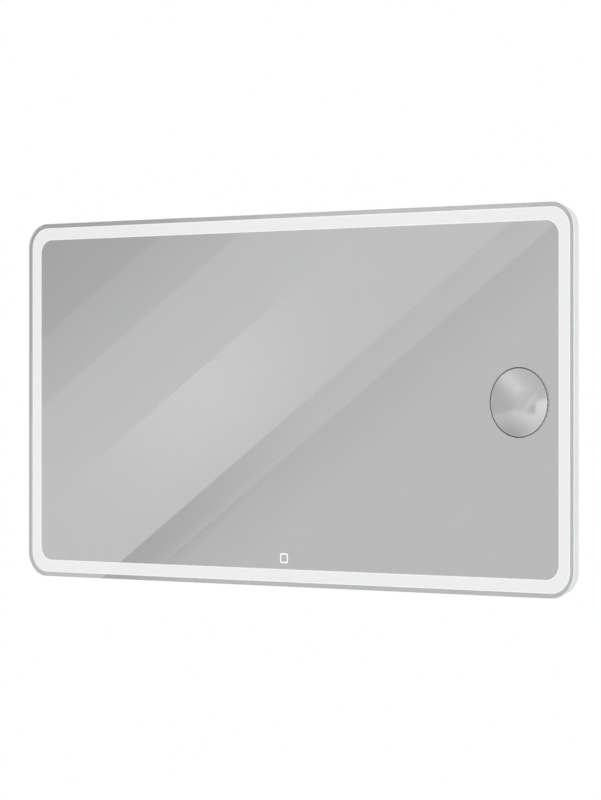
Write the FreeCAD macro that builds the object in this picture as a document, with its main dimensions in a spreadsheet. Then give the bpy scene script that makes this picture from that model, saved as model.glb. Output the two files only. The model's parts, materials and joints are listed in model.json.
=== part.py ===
"""A lighted bathroom mirror that hangs on a wall, built as its separate pieces, in millimetres.

X runs to the right as the user sees it, Z runs up, and Y runs into the wall. The origin is the middle of the
back face, which lies against the wall at Y = 0, so everything is at Y <= 0. A piece's distance from the wall
is called its rise: a face at rise 25 is at Y = -25.

From the front: a glass pane with rounded corners, whose silvering leaves a lit frosted band all round, a
frosted touch mark and a round window with a concave shaving mirror. Behind it: an opal diffuser, a bent
aluminium side frame taped to the glass, support channels, LED strips, the LED driver and the touch sensor
with their leads, and a flush back panel with two keyhole hangers and a recessed wiring cover.
"""
import math
import os

import FreeCAD
import Part
import Sketcher
from FreeCAD import Placement, Rotation, Vector

# ---------------------------------------------------------------------------------------------------------
# Driving dimensions: alias, millimetres, meaning
# ---------------------------------------------------------------------------------------------------------
DRIVING = [
    ("mirror_wide", 1300, "glass width"),
    ("mirror_high", 700, "glass height"),
    ("corner_round", 48, "corner radius of the glass"),
    ("mirror_deep", 25, "wall to the front of the glass"),
    ("glass_thick", 4, "float glass"),
    ("glass_arris", 0.6, "polished chamfer round the glass"),
    ("coat_thick", 0.2, "silvering and its paint, and the frosted layer"),
    ("coat_margin", 0.7, "bare edge outside the silvering"),
    ("border_wide", 8.4, "silvered border outside the lit band"),
    ("band_wide", 24, "lit frosted band"),
    ("band_inner_round", 27, "corner radius of the band's inner edge"),
    ("icon_size", 18.5, "touch mark, over its outline"),
    ("icon_round", 3.2, "corner radius of the touch mark"),
    ("icon_stroke", 2.6, "line width of the touch mark"),
    ("icon_up", 53, "touch mark's centre above the lower edge"),
    ("lens_radius", 61.2, "shaving mirror"),
    ("lens_thick", 1.88, "glass of the shaving mirror"),
    ("lens_curve", 400, "radius of its hollow face"),
    ("lens_sunk", 0.5, "rim below the front of the glass"),
    ("lens_from_edge", 116, "its centre from the right edge"),
    ("lens_drop", 4.5, "its centre below the middle"),
    ("gasket_wall", 1.7, "black ring round the shaving mirror"),
    ("gasket_sunk", 0.4, "ring below the front of the glass"),
    ("gasket_shelf", 4, "how far the ring reaches under the shaving mirror"),
    ("gasket_floor", 1.2, "thickness of that shelf"),
    ("cup_land", 3.6, "holder's rim, outside the black ring"),
    ("cup_step", 1, "holder's bore, inside the shaving mirror's edge"),
    ("cup_deep", 6.9, "holder from the silvering to its back"),
    ("cup_floor", 1.5, "thickness of its floor"),
    ("foam_radius", 34, "foam pad behind the shaving mirror"),
    ("frame_inset", 5, "side frame inside the glass edge"),
    ("frame_wall", 1.5, "side frame's wall and lips"),
    ("front_lip", 4, "lip under the glass, from the frame's outside"),
    ("rear_lip", 9, "lip under the back panel, from the frame's outside"),
    ("tape_thick", 0.8, "foam tape between metal and glass"),
    ("tape_edge", 0.25, "bare metal each side of the tape"),
    ("seam_gap", 0.3, "gap where the bent frame's ends meet"),
    ("joiner_long", 70, "plate behind the seam"),
    ("joiner_high", 11, "its height"),
    ("joiner_thick", 1.2, "its thickness"),
    ("diffuser_thick", 2, "opal ring behind the band"),
    ("diffuser_over", 3, "how far it passes the band's inner edge"),
    ("diffuser_gap", 0.4, "gap between it and the front lip"),
    ("panel_thick", 1, "back panel"),
    ("panel_gap", 0.3, "gap between the panel and the frame"),
    ("rail_inset", 37, "support channel's web from the glass edge"),
    ("rail_wide", 12, "its flanges"),
    ("rail_thick", 1, "its sheet"),
    ("rail_end", 85, "channels' ends from the glass edge"),
    ("rail_rivet_end", 20, "first rivet from a channel's end"),
    ("rail_break", 70, "gap in the bottom channel, each side of the touch sensor"),
    ("strip_wide", 8, "LED strip"),
    ("strip_thick", 0.4, "its circuit"),
    ("strip_end", 60, "its ends from the glass edge"),
    ("chip_pitch", 50, "LED to LED"),
    ("chip_long", 3.5, "LED, along the strip"),
    ("chip_wide", 2.8, "LED, across the strip"),
    ("chip_high", 0.8, "LED"),
    ("plug_long", 10, "lead connector on the strip"),
    ("plug_high", 4, "its height"),
    ("plug_x", 50, "its place along the bottom strip"),
    ("screw_radius", 1.5, "M3 screws"),
    ("screw_head", 2.6, "flush head's radius"),
    ("screw_long", 4.5, "flush screw"),
    ("screw_end", 150, "outer panel screws from the glass edge"),
    ("pan_high", 1.8, "height of a pan head"),
    ("screw_tip", 0.8, "how far the wiring plate's screws pass through it"),
    ("rivet_radius", 1.6, "rivets"),
    ("rivet_head", 2.6, "rivet heads' radius"),
    ("rivet_tail", 0.9, "height of the closed end"),
    ("fit_gap", 0.05, "clearance round screws and rivets"),
    ("hanger_in", 200, "hanger's centre from the side edge"),
    ("hanger_down", 88, "hanger's centre from the top edge"),
    ("hanger_wide", 64, "pocket of a hanger"),
    ("hanger_high", 44, "pocket of a hanger"),
    ("hanger_round", 6, "its corners"),
    ("hanger_deep", 5, "wall to the hanger's plate"),
    ("hanger_thick", 1.5, "its steel"),
    ("hanger_flange", 8, "flange round the pocket"),
    ("keyhole_radius", 6, "round end, for the wall screw's head"),
    ("keyhole_slot", 3, "half the slot's width"),
    ("keyhole_drop", 8, "round end below the pocket's middle"),
    ("keyhole_rise", 18, "slot's end above the round end"),
    ("cover_x", 90, "wiring cover's centre"),
    ("cover_z", -40, "wiring cover's centre"),
    ("cover_wide", 120, "its pocket"),
    ("cover_high", 80, "its pocket"),
    ("cover_round", 8, "its corners"),
    ("cover_deep", 7, "wall to its floor"),
    ("cover_thick", 1, "its sheet"),
    ("cover_flange", 9, "flange round the pocket"),
    ("grommet_x", 35, "grommet right of the cover's centre"),
    ("grommet_bore", 4.5, "supply cable passes here"),
    ("grommet_neck", 6.5, "grommet in its hole"),
    ("grommet_rim", 9, "its flanges"),
    ("grommet_rim_thick", 1.5, "its flanges"),
    ("block_x", -28, "terminal block left of the cover's centre"),
    ("block_long", 34, "terminal block"),
    ("block_wide", 20, "terminal block"),
    ("block_high", 10, "terminal block"),
    ("block_foot", 3, "thickness under its fixing screws"),
    ("block_hole_in", 3, "its fixing screws from its ends"),
    ("pole_screw", 2, "radius of its clamping screws"),
    ("pole_screw_high", 2.2, "height of its clamping screws"),
    ("pole_well", 3, "depth of their wells"),
    ("clamp_long", 26, "cord clamp, across the cable"),
    ("clamp_wide", 9, "cord clamp"),
    ("clamp_base", 1.5, "cord clamp's base"),
    ("clamp_bridge", 7, "cord clamp's bridge"),
    ("clamp_tunnel", 3, "radius of the cable's way through the bridge"),
    ("clamp_rise", 2, "its centre above the base, so that it is open below"),
    ("boss_radius", 3, "threaded bosses on the panel"),
    ("boss_high", 2, "their height"),
    ("edge_land", 1, "material left outside a screw's boss"),
    ("driver_x", -110, "driver's centre"),
    ("driver_z", -40, "driver's centre"),
    ("driver_long", 150, "driver's case"),
    ("driver_wide", 36, "driver's case"),
    ("driver_high", 15, "driver's case"),
    ("driver_wall", 1.2, "its wall"),
    ("driver_foot", 9, "its feet, past each end"),
    ("driver_cap", 3, "its end caps"),
    ("driver_clear", 2, "room under its board"),
    ("board_thick", 1.6, "circuit boards"),
    ("earth_z", 30, "earth stud's height above the middle"),
    ("stud_radius", 2, "M4 earth stud"),
    ("stud_long", 9, "M4 earth stud"),
    ("nut_across", 7, "M4 nut over its flats"),
    ("nut_high", 3.2, "M4 nut"),
    ("lug_thick", 0.8, "earth lead's ring"),
    ("tongue_wide", 3.4, "strip from the ring to its barrel"),
    ("tongue_long", 10, "its length"),
    ("tongue_drop", 7, "its middle below the stud"),
    ("barrel_wide", 4, "crimp that holds the earth lead"),
    ("barrel_long", 5, "its length"),
    ("barrel_high", 3.4, "its height"),
    ("barrel_drop", 10.5, "its middle below the stud"),
    ("sensor_wide", 40, "touch sensor's case"),
    ("sensor_high", 24, "touch sensor's case"),
    ("sensor_deep", 8, "touch sensor's case"),
    ("sensor_wall", 1, "its wall"),
    ("sensor_glue", 0.4, "its adhesive frame"),
    ("sensor_window", 0.5, "how much wider its window is than the touch mark"),
    ("sensor_light_x", 5, "its LEDs, from its middle"),
    ("board_gap", 0.5, "gap round its board"),
    ("mains_thick", 6, "mains lead inside"),
    ("low_thick", 3.5, "driver's low-voltage lead"),
    ("strip_lead_thick", 2.5, "sensor to strip lead"),
    ("jumper_thick", 2, "strip to strip leads"),
    ("lead_rise", 12, "leads at the driver and the terminal block"),
    ("lead_aside", 47, "low-voltage lead, left of the driver"),
    ("lead_fall", 46, "where it first lies on the panel, below the driver"),
    ("lead_bend", 50, "reach of its bend towards the touch sensor"),
    ("lead_lift", 12, "its level run above the touch mark"),
    ("clip_in", 30, "lead clips from the ends of a straight run"),
    ("clip_wide", 8, "lead clips"),
    ("clip_wall", 1.6, "lead clips"),
    ("clip_room", 0.5, "room round the lead in its clip"),
]

doc = FreeCAD.newDocument("LightedMirror")
sheet = doc.addObject("Spreadsheet::Sheet", "Sizes")
for row, (alias, number, meaning) in enumerate(DRIVING, 1):
    sheet.set(f"A{row}", meaning)
    sheet.set(f"B{row}", str(number))
    sheet.setAlias(f"B{row}", alias)
doc.recompute()


# ---------------------------------------------------------------------------------------------------------
# Lengths that stay tied to the sheet
# ---------------------------------------------------------------------------------------------------------
class Size:
    """A length in millimetres, with the expression over the sheet that it comes from."""

    def __init__(self, value, text):
        self.value = float(value)
        self.text = text

    def __add__(self, other):
        other = as_size(other)
        return Size(self.value + other.value, f"({self.text} + {other.text})")

    def __sub__(self, other):
        other = as_size(other)
        return Size(self.value - other.value, f"({self.text} - {other.text})")

    def __mul__(self, other):
        other = as_size(other)
        return Size(self.value * other.value, f"({self.text} * {other.text})")

    def __truediv__(self, other):
        other = as_size(other)
        return Size(self.value / other.value, f"({self.text} / {other.text})")

    def __neg__(self):
        return Size(-self.value, f"(-{self.text})")

    def __radd__(self, other):
        return as_size(other) + self

    def __rsub__(self, other):
        return as_size(other) - self

    def __rmul__(self, other):
        return as_size(other) * self


def as_size(thing):
    """A plain number as a Size that is tied to nothing."""
    return thing if isinstance(thing, Size) else Size(thing, f"({float(thing)!r})")


def root(size):
    """The square root of a Size."""
    return Size(math.sqrt(size.value), f"sqrt({size.text})")


class Sheet:
    """Reads an alias of the sheet as a Size: s.mirror_wide."""

    def __getattr__(self, name):
        return Size(getattr(sheet, name), f"Sizes.{name}")


s = Sheet()


def bind(thing, path, size):
    """Ties a property of a feature, or a sketch's constraint, to the sheet."""
    thing.setExpression(path, as_size(size).text)


# ---------------------------------------------------------------------------------------------------------
# Sketches, which lie in the wall's plane at some rise: their x is X and their y is Z
# ---------------------------------------------------------------------------------------------------------
def new_body(name):
    return doc.addObject("PartDesign::Body", name)


def sketch_at(body, rise, plane="XZ_Plane"):
    """A sketch on one of the body's own origin planes, lifted off the wall by rise."""
    sketch = body.newObject("Sketcher::SketchObject", body.Name + "_outline")
    flat = next(f for f in body.Origin.OriginFeatures if f.Role == plane)
    sketch.AttachmentSupport = [(flat, "")]
    sketch.MapMode = "FlatFace"
    bind(sketch, "AttachmentOffset.Base.z", rise)
    return sketch


def hold(sketch, kind, *where, size):
    """Adds a dimension to a sketch and ties it to the sheet."""
    index = sketch.addConstraint(Sketcher.Constraint(kind, *where, as_size(size).value))
    bind(sketch, f"Constraints[{index}]", size)


def rounded_rectangle(sketch, x, z, wide, high, radius):
    """Four arcs and four lines, dimensioned by the arcs' centres and their radius."""
    x, z, wide, high, radius = (as_size(v) for v in (x, z, wide, high, radius))
    left = x - wide / 2 + radius
    low = z - high / 2 + radius
    right = left.value + wide.value - 2 * radius.value
    top = low.value + high.value - 2 * radius.value
    turns = [(left.value, low.value, 180), (right, low.value, 270), (right, top, 0), (left.value, top, 90)]
    arcs = []
    for cx, cz, start in turns:
        circle = Part.Circle(Vector(cx, cz, 0), Vector(0, 0, 1), radius.value)
        arcs.append(sketch.addGeometry(
            Part.ArcOfCircle(circle, math.radians(start), math.radians(start + 90))))
    for i in range(4):
        here, there = arcs[i], arcs[(i + 1) % 4]
        line = sketch.addGeometry(Part.LineSegment(sketch.getPoint(here, 2), sketch.getPoint(there, 1)))
        sketch.addConstraint(Sketcher.Constraint("Tangent", here, 2, line, 1))
        sketch.addConstraint(Sketcher.Constraint("Tangent", line, 2, there, 1))
        sketch.addConstraint(Sketcher.Constraint("Vertical" if i % 2 else "Horizontal", line))
        if i:
            sketch.addConstraint(Sketcher.Constraint("Equal", arcs[0], here))
    hold(sketch, "Radius", arcs[0], size=radius)
    hold(sketch, "DistanceX", -1, 1, arcs[0], 3, size=left)
    hold(sketch, "DistanceY", -1, 1, arcs[0], 3, size=low)
    hold(sketch, "DistanceX", arcs[0], 3, arcs[2], 3, size=wide - 2 * radius)
    hold(sketch, "DistanceY", arcs[0], 3, arcs[2], 3, size=high - 2 * radius)


def circle(sketch, x, z, radius):
    x, z, radius = (as_size(v) for v in (x, z, radius))
    ring = sketch.addGeometry(Part.Circle(Vector(x.value, z.value, 0), Vector(0, 0, 1), radius.value))
    hold(sketch, "Radius", ring, size=radius)
    hold(sketch, "DistanceX", -1, 1, ring, 3, size=x)
    hold(sketch, "DistanceY", -1, 1, ring, 3, size=z)


def upright_slot(sketch, x, low, high, radius):
    """A slot with round ends, whose end centres are at low and high."""
    x, low, high, radius = (as_size(v) for v in (x, low, high, radius))
    ends = []
    for centre, start in ((high, 0), (low, 180)):
        round_end = Part.Circle(Vector(x.value, centre.value, 0), Vector(0, 0, 1), radius.value)
        ends.append(sketch.addGeometry(
            Part.ArcOfCircle(round_end, math.radians(start), math.radians(start + 180))))
        hold(sketch, "DistanceX", -1, 1, ends[-1], 3, size=x)
        hold(sketch, "DistanceY", -1, 1, ends[-1], 3, size=centre)
    for here, there in ((0, 1), (1, 0)):
        line = sketch.addGeometry(
            Part.LineSegment(sketch.getPoint(ends[here], 2), sketch.getPoint(ends[there], 1)))
        sketch.addConstraint(Sketcher.Constraint("Tangent", ends[here], 2, line, 1))
        sketch.addConstraint(Sketcher.Constraint("Tangent", line, 2, ends[there], 1))
    hold(sketch, "Radius", ends[0], size=radius)


def polygon(sketch, points):
    """A closed outline of straight lines through points, each held from the origin."""
    points = [(as_size(a), as_size(b)) for a, b in points]
    corners = [Vector(a.value, b.value, 0) for a, b in points]
    lines = [sketch.addGeometry(Part.LineSegment(corners[i], corners[(i + 1) % len(corners)]))
             for i in range(len(corners))]
    for i, (a, b) in enumerate(points):
        sketch.addConstraint(Sketcher.Constraint("Coincident", lines[i - 1], 2, lines[i], 1))
        hold(sketch, "DistanceX", -1, 1, lines[i], 1, size=a)
        hold(sketch, "DistanceY", -1, 1, lines[i], 1, size=b)


def pad(body, sketch, length, both_ways=False):
    """Raises the sketch off the wall by length, or by half of it each way."""
    feature = body.newObject("PartDesign::Pad", body.Name + "_pad")
    feature.Profile = sketch
    feature.Midplane = both_ways
    bind(feature, "Length", length)
    doc.recompute()
    return feature


def pocket(body, sketch, depth):
    """Cuts from the sketch's rise down towards the wall. Says so if nothing was cut."""
    before = body.Shape.Volume
    feature = body.newObject("PartDesign::Pocket", body.Name + "_pocket")
    feature.Profile = sketch
    bind(feature, "Length", depth)
    doc.recompute()
    if body.Shape.Volume > before - 1e-6:
        raise RuntimeError(f"a pocket in {body.Name} cut nothing")
    return feature


# ---------------------------------------------------------------------------------------------------------
# Primitives, placed by X, Z and rise
# ---------------------------------------------------------------------------------------------------------
OFF_THE_WALL = Rotation(Vector(1, 0, 0), 90)  # turns a primitive's own Z to run off the wall


def block(name, x, z, rise, wide, high, deep):
    """A box centred on X and Z, from rise to rise + deep."""
    x, z, rise, wide, high, deep = (as_size(v) for v in (x, z, rise, wide, high, deep))
    box = doc.addObject("Part::Box", name)
    for prop, size in (("Length", wide), ("Width", deep), ("Height", high),
                       ("Placement.Base.x", x - wide / 2),
                       ("Placement.Base.y", -(rise + deep)),
                       ("Placement.Base.z", z - high / 2)):
        bind(box, prop, size)
    return box


def stub(name, x, z, rise, radius, length):
    """A cylinder that stands off the wall from rise to rise + length."""
    cylinder = doc.addObject("Part::Cylinder", name)
    cylinder.Placement = Placement(Vector(), OFF_THE_WALL)
    for prop, size in (("Radius", radius), ("Height", length), ("Placement.Base.x", x),
                       ("Placement.Base.y", -as_size(rise)), ("Placement.Base.z", z)):
        bind(cylinder, prop, size)
    return cylinder


def taper(name, x, z, rise, radius, end_radius, length):
    """A cone that stands off the wall, from radius to end_radius."""
    cone = doc.addObject("Part::Cone", name)
    cone.Placement = Placement(Vector(), OFF_THE_WALL)
    for prop, size in (("Radius1", radius), ("Radius2", end_radius), ("Height", length),
                       ("Placement.Base.x", x), ("Placement.Base.y", -as_size(rise)),
                       ("Placement.Base.z", z)):
        bind(cone, prop, size)
    return cone


def cut(name, base, *tools):
    """base less all the tools."""
    tool = tools[0] if len(tools) == 1 else joined(name + "_tools", *tools)
    feature = doc.addObject("Part::Cut", name)
    feature.Base, feature.Tool = base, tool
    return feature


def joined(name, *pieces):
    feature = doc.addObject("Part::MultiFuse", name)
    feature.Shapes = list(pieces)
    return feature


def group(name, pieces):
    """Several solids that share one node."""
    feature = doc.addObject("Part::Compound", name)
    feature.Links = list(pieces)
    return feature


SUBPARTS = []


def subpart(feature, label):
    """Hands a finished feature in as the node called label."""
    feature.Label = label
    SUBPARTS.append(feature)
    return feature


# Levels between the wall and the front, and other places that many pieces share
glass_back = s.mirror_deep - s.glass_thick
coat_back = glass_back - s.coat_thick
frame_top = coat_back - s.tape_thick
half_wide = s.mirror_wide / 2
half_high = s.mirror_high / 2
hanger_x = half_wide - s.hanger_in
hanger_z = half_high - s.hanger_down
lens_x = half_wide - s.lens_from_edge
lens_z = -s.lens_drop
lens_hole = s.lens_radius + s.gasket_wall
icon_z = s.icon_up - half_high
band_end = s.border_wide + s.band_wide
strip_inset = s.border_wide + s.band_wide / 2
clear_hole = s.screw_radius + s.fit_gap
rivet_hole = s.rivet_radius + s.fit_gap


def inset_outline(sketch, inset, radius=None):
    """The glass's own outline moved inwards, with its own corner centres unless a radius is given."""
    radius = s.corner_round - inset if radius is None else radius
    rounded_rectangle(sketch, 0, 0, s.mirror_wide - 2 * inset, s.mirror_high - 2 * inset, radius)


def ring_plate(name, rise, thick, outer, inner, inner_radius=None):
    """A flat ring between two insets of the glass's outline."""
    body = new_body(name)
    sketch = sketch_at(body, rise)
    inset_outline(sketch, outer)
    inset_outline(sketch, inner, inner_radius)
    pad(body, sketch, thick)
    return body


# ---------------------------------------------------------------------------------------------------------
# The mirror: glass, silvering, frosted layer, diffuser, tape
# ---------------------------------------------------------------------------------------------------------
def make_glass():
    body = new_body("Glass")
    sketch = sketch_at(body, glass_back)
    inset_outline(sketch, as_size(0))
    circle(sketch, lens_x, lens_z, lens_hole)
    pane = pad(body, sketch, s.glass_thick)
    # the polished arris runs round both faces, but not round the hole
    hole_reach = lens_hole.value + s.glass_thick.value
    rim = []
    for i, edge in enumerate(pane.Shape.Edges, 1):
        middle = edge.valueAt((edge.FirstParameter + edge.LastParameter) / 2)
        flat = edge.BoundBox.YLength < 1e-6
        near_hole = math.hypot(middle.x - lens_x.value, middle.z - lens_z.value) < hole_reach
        if flat and not near_hole:
            rim.append(f"Edge{i}")
    arris = body.newObject("PartDesign::Chamfer", "Glass_arris")
    arris.Base = (pane, rim)
    bind(arris, "Size", s.glass_arris)
    subpart(body, "mirror_glass")


def make_coatings():
    icon_inner = s.icon_size - 2 * s.icon_stroke
    inner_round = s.icon_round - s.icon_stroke / 2

    silver = new_body("Silver")
    sketch = sketch_at(silver, coat_back)
    inset_outline(sketch, s.coat_margin)
    inset_outline(sketch, s.border_wide)
    inset_outline(sketch, band_end, s.band_inner_round)
    circle(sketch, lens_x, lens_z, lens_hole)
    rounded_rectangle(sketch, 0, icon_z, s.icon_size, s.icon_size, s.icon_round)
    rounded_rectangle(sketch, 0, icon_z, icon_inner, icon_inner, inner_round)
    pad(silver, sketch, s.coat_thick)
    subpart(silver, "silver_coating")

    subpart(ring_plate("Band", coat_back, s.coat_thick, s.border_wide, band_end, s.band_inner_round),
            "frosted_band")

    icon = new_body("Icon")
    sketch = sketch_at(icon, coat_back)
    rounded_rectangle(sketch, 0, icon_z, s.icon_size, s.icon_size, s.icon_round)
    rounded_rectangle(sketch, 0, icon_z, icon_inner, icon_inner, inner_round)
    pad(icon, sketch, s.coat_thick)
    subpart(icon, "touch_icon")


def make_diffuser():
    outer = s.frame_inset + s.front_lip + s.diffuser_gap
    inner = band_end + s.diffuser_over
    ring = ring_plate("Diffuser", coat_back - s.diffuser_thick, s.diffuser_thick, outer, inner,
                      s.band_inner_round - s.diffuser_over)
    subpart(ring, "light_diffuser")


def make_glass_tape():
    ring = ring_plate("Tape", frame_top, s.tape_thick, s.frame_inset + s.tape_edge,
                      s.frame_inset + s.front_lip - s.tape_edge)
    subpart(ring, "glass_tape")


# ---------------------------------------------------------------------------------------------------------
# The shaving mirror, in its hole in the glass
# ---------------------------------------------------------------------------------------------------------
def make_shaving_mirror():
    """A disc of even thickness between two spheres that share a centre in front of it."""
    rim_rise = s.mirror_deep - s.lens_sunk
    centre_rise = rim_rise + root(s.lens_curve * s.lens_curve - s.lens_radius * s.lens_radius)
    blank = stub("LensBlank", lens_x, lens_z, coat_back - s.cup_deep, s.lens_radius,
                 rim_rise - coat_back + s.cup_deep)
    balls = []
    for name, radius in (("LensBack", s.lens_curve + s.lens_thick), ("LensFront", s.lens_curve)):
        ball = doc.addObject("Part::Sphere", name)
        bind(ball, "Radius", radius)
        bind(ball, "Placement.Base.x", lens_x)
        bind(ball, "Placement.Base.y", -centre_rise)
        bind(ball, "Placement.Base.z", lens_z)
        balls.append(ball)
    inside = doc.addObject("Part::Common", "LensInside")
    inside.Base, inside.Tool = blank, balls[0]
    subpart(cut("Lens", inside, balls[1]), "magnifier_mirror")


def make_lens_mounting():
    shelf_end = s.lens_radius - s.gasket_shelf
    wall = stub("GasketWall", lens_x, lens_z, coat_back, lens_hole,
                s.mirror_deep - s.gasket_sunk - coat_back)
    well = stub("GasketWell", lens_x, lens_z, coat_back + s.gasket_floor, s.lens_radius, s.mirror_deep)
    eye = stub("GasketEye", lens_x, lens_z, 0, shelf_end, s.mirror_deep)
    subpart(cut("Gasket", wall, well, eye), "magnifier_gasket")

    cup_back = coat_back - s.cup_deep
    outside = stub("CupOutside", lens_x, lens_z, cup_back, lens_hole + s.cup_land, s.cup_deep)
    bore = s.lens_radius - s.cup_step
    inside = stub("CupInside", lens_x, lens_z, cup_back + s.cup_floor, bore, s.cup_deep)
    subpart(cut("Cup", outside, inside), "magnifier_cup")

    # the pad fills the space between the cup's floor and the lowest point of the disc
    rim_rise = s.mirror_deep - s.lens_sunk
    hollow = s.lens_curve - root(s.lens_curve * s.lens_curve - s.lens_radius * s.lens_radius)
    lens_back = rim_rise - hollow - s.lens_thick
    foam_rise = cup_back + s.cup_floor
    subpart(stub("Foam", lens_x, lens_z, foam_rise, s.foam_radius, lens_back - foam_rise),
            "magnifier_pad")


# ---------------------------------------------------------------------------------------------------------
# Flush screws and rivets through the back
# ---------------------------------------------------------------------------------------------------------
def sink(name, x, z, radius, head):
    """The countersunk hole that a flush fastener needs, through everything behind it."""
    mouth = taper(name + "_mouth", x, z, 0, head + s.fit_gap, radius + s.fit_gap, s.panel_thick)
    bore = stub(name + "_bore", x, z, 0, radius + s.fit_gap, s.screw_long + s.boss_high)
    return joined(name + "_hole", mouth, bore)


def flush_screw(name, x, z):
    head = taper(name + "_head", x, z, 0, s.screw_head, s.screw_radius, s.panel_thick)
    shank = stub(name + "_shank", x, z, s.panel_thick / 2, s.screw_radius, s.screw_long - s.panel_thick / 2)
    return joined(name, head, shank)


def flush_rivet(name, x, z, grip):
    """A rivet from the panel's outside to a closed end above what it grips."""
    head = taper(name + "_head", x, z, 0, s.rivet_head, s.rivet_radius, s.panel_thick)
    shank = stub(name + "_shank", x, z, s.panel_thick / 2, s.rivet_radius, grip - s.panel_thick / 2)
    tail = stub(name + "_tail", x, z, grip, s.rivet_head, s.rivet_tail)
    return joined(name, head, shank, tail)


def spread(count, reach):
    """count places from -reach to reach."""
    return [(2 * i / (count - 1) - 1) * reach for i in range(count)]


lip_middle = s.frame_inset + (s.frame_wall + s.panel_gap + s.rear_lip) / 2
screw_x, screw_z = half_wide - s.screw_end, half_high - s.screw_end
PANEL_SCREWS = (
    [(x, half_high - lip_middle) for x in spread(5, screw_x)]
    + [(x, lip_middle - half_high) for x in spread(5, screw_x) if abs(x.value) > s.joiner_long.value]
    + [(side * (half_wide - lip_middle), z) for side in (-1, 1) for z in spread(3, screw_z)]
)
rail_middle = s.rail_inset + s.rail_wide / 2 + s.rail_thick / 2
rail_x, rail_z = half_wide - s.rail_end, half_high - s.rail_end
low_rail_middle = (s.rail_break + rail_x) / 2
low_rail_reach = (rail_x - s.rail_break) / 2 - s.rail_rivet_end
RAIL_RIVETS = (
    [(x, half_high - rail_middle) for x in spread(5, rail_x - s.rail_rivet_end)]
    + [(side * (low_rail_middle + x), rail_middle - half_high) for side in (-1, 1)
       for x in spread(3, low_rail_reach)]
    + [(side * (half_wide - rail_middle), z) for side in (-1, 1)
       for z in spread(4, rail_z - s.rail_rivet_end)]
)
hanger_hole_x = s.hanger_wide / 2 + (s.hanger_thick + s.hanger_flange) / 2
hanger_hole_z = s.hanger_high / 2 - s.hanger_flange
HANGER_RIVETS = [(side * hanger_x + dx * hanger_hole_x, hanger_z + dz * hanger_hole_z)
                 for side in (-1, 1) for dx in (-1, 1) for dz in (-1, 1)]
cover_hole_x = s.cover_wide / 2 + (s.cover_thick + s.cover_flange) / 2
cover_hole_z = s.cover_high / 2 - s.cover_flange
COVER_SCREWS = [(s.cover_x + dx * cover_hole_x, s.cover_z + dz * cover_hole_z)
                for dx in (-1, 1) for dz in (-1, 1)]


def make_fasteners():
    rows = (("PanelScrew", PANEL_SCREWS, flush_screw, "panel_screws"),
            ("CoverScrew", COVER_SCREWS, flush_screw, "wiring_cover_screws"))
    for name, places, make, label in rows:
        subpart(group(name + "s", [make(f"{name}{i}", x, z) for i, (x, z) in enumerate(places)]), label)
    rows = (("RailRivet", RAIL_RIVETS, s.rail_thick, "rail_rivets"),
            ("HangerRivet", HANGER_RIVETS, s.hanger_thick, "hanger_rivets"))
    for name, places, sheet_thick, label in rows:
        rivets = [flush_rivet(f"{name}{i}", x, z, s.panel_thick + sheet_thick)
                  for i, (x, z) in enumerate(places)]
        subpart(group(name + "s", rivets), label)


# ---------------------------------------------------------------------------------------------------------
# Side frame
# ---------------------------------------------------------------------------------------------------------
def make_side_frame():
    """A channel bent round the corners: a wall, a lip under the glass and a lip under the back panel."""
    wall_in = s.frame_inset + s.frame_wall
    lip_top = s.panel_thick + s.frame_wall
    body = new_body("Frame")
    sketch = sketch_at(body, 0)
    inset_outline(sketch, s.frame_inset)
    inset_outline(sketch, s.frame_inset + s.rear_lip)
    pad(body, sketch, frame_top)
    for rise, inset, depth in (
        (frame_top, s.frame_inset + s.front_lip, frame_top - lip_top),
        (frame_top - s.frame_wall, wall_in, frame_top - s.frame_wall - lip_top),
        (s.panel_thick, wall_in, s.panel_thick),
    ):
        sketch = sketch_at(body, rise)
        inset_outline(sketch, inset)
        pocket(body, sketch, depth)
    seam = block("FrameSeam", 0, -half_high, 0, s.seam_gap, 4 * (s.frame_inset + s.rear_lip), s.mirror_deep)
    holes = [stub(f"FrameHole{i}", x, z, s.panel_thick / 2, clear_hole, s.screw_long)
             for i, (x, z) in enumerate(PANEL_SCREWS)]
    rivet_holes = [cross_pin(f"JoinerHole{i}", x, 0, rivet_hole) for i, x in enumerate(JOINER_RIVETS)]
    subpart(cut("FrameCut", body, seam, *holes, *rivet_holes), "side_frame")


JOINER_RIVETS = (-26, -10, 10, 26)
joiner_rise = (frame_top + s.panel_thick) / 2


def cross_pin(name, x, start, radius, length=None):
    """A cylinder along +Z through the bottom wall of the frame, start above the wall's underside."""
    length = s.frame_wall + s.joiner_thick if length is None else length
    pin = doc.addObject("Part::Cylinder", name)
    for prop, size in (("Radius", radius), ("Height", length), ("Placement.Base.x", x),
                       ("Placement.Base.y", -joiner_rise),
                       ("Placement.Base.z", s.frame_inset - half_high + start)):
        bind(pin, prop, size)
    return pin


def make_joiner():
    low = s.frame_inset + s.frame_wall - half_high
    plate = block("JoinerPlate", 0, low + s.joiner_thick / 2, joiner_rise - s.joiner_high / 2,
                  s.joiner_long, s.joiner_thick, s.joiner_high)
    holes = [cross_pin(f"JoinerBore{i}", x, 0, rivet_hole) for i, x in enumerate(JOINER_RIVETS)]
    subpart(cut("Joiner", plate, *holes), "frame_joiner")
    rivets = []
    for i, x in enumerate(JOINER_RIVETS):
        shank = cross_pin(f"JoinerShank{i}", x, 0, s.rivet_radius)
        tail = cross_pin(f"JoinerTail{i}", x, s.frame_wall + s.joiner_thick, s.rivet_head, s.rivet_tail)
        rivets.append(joined(f"JoinerRivet{i}", shank, tail))
    subpart(group("JoinerRivets", rivets), "joiner_rivets")


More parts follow.
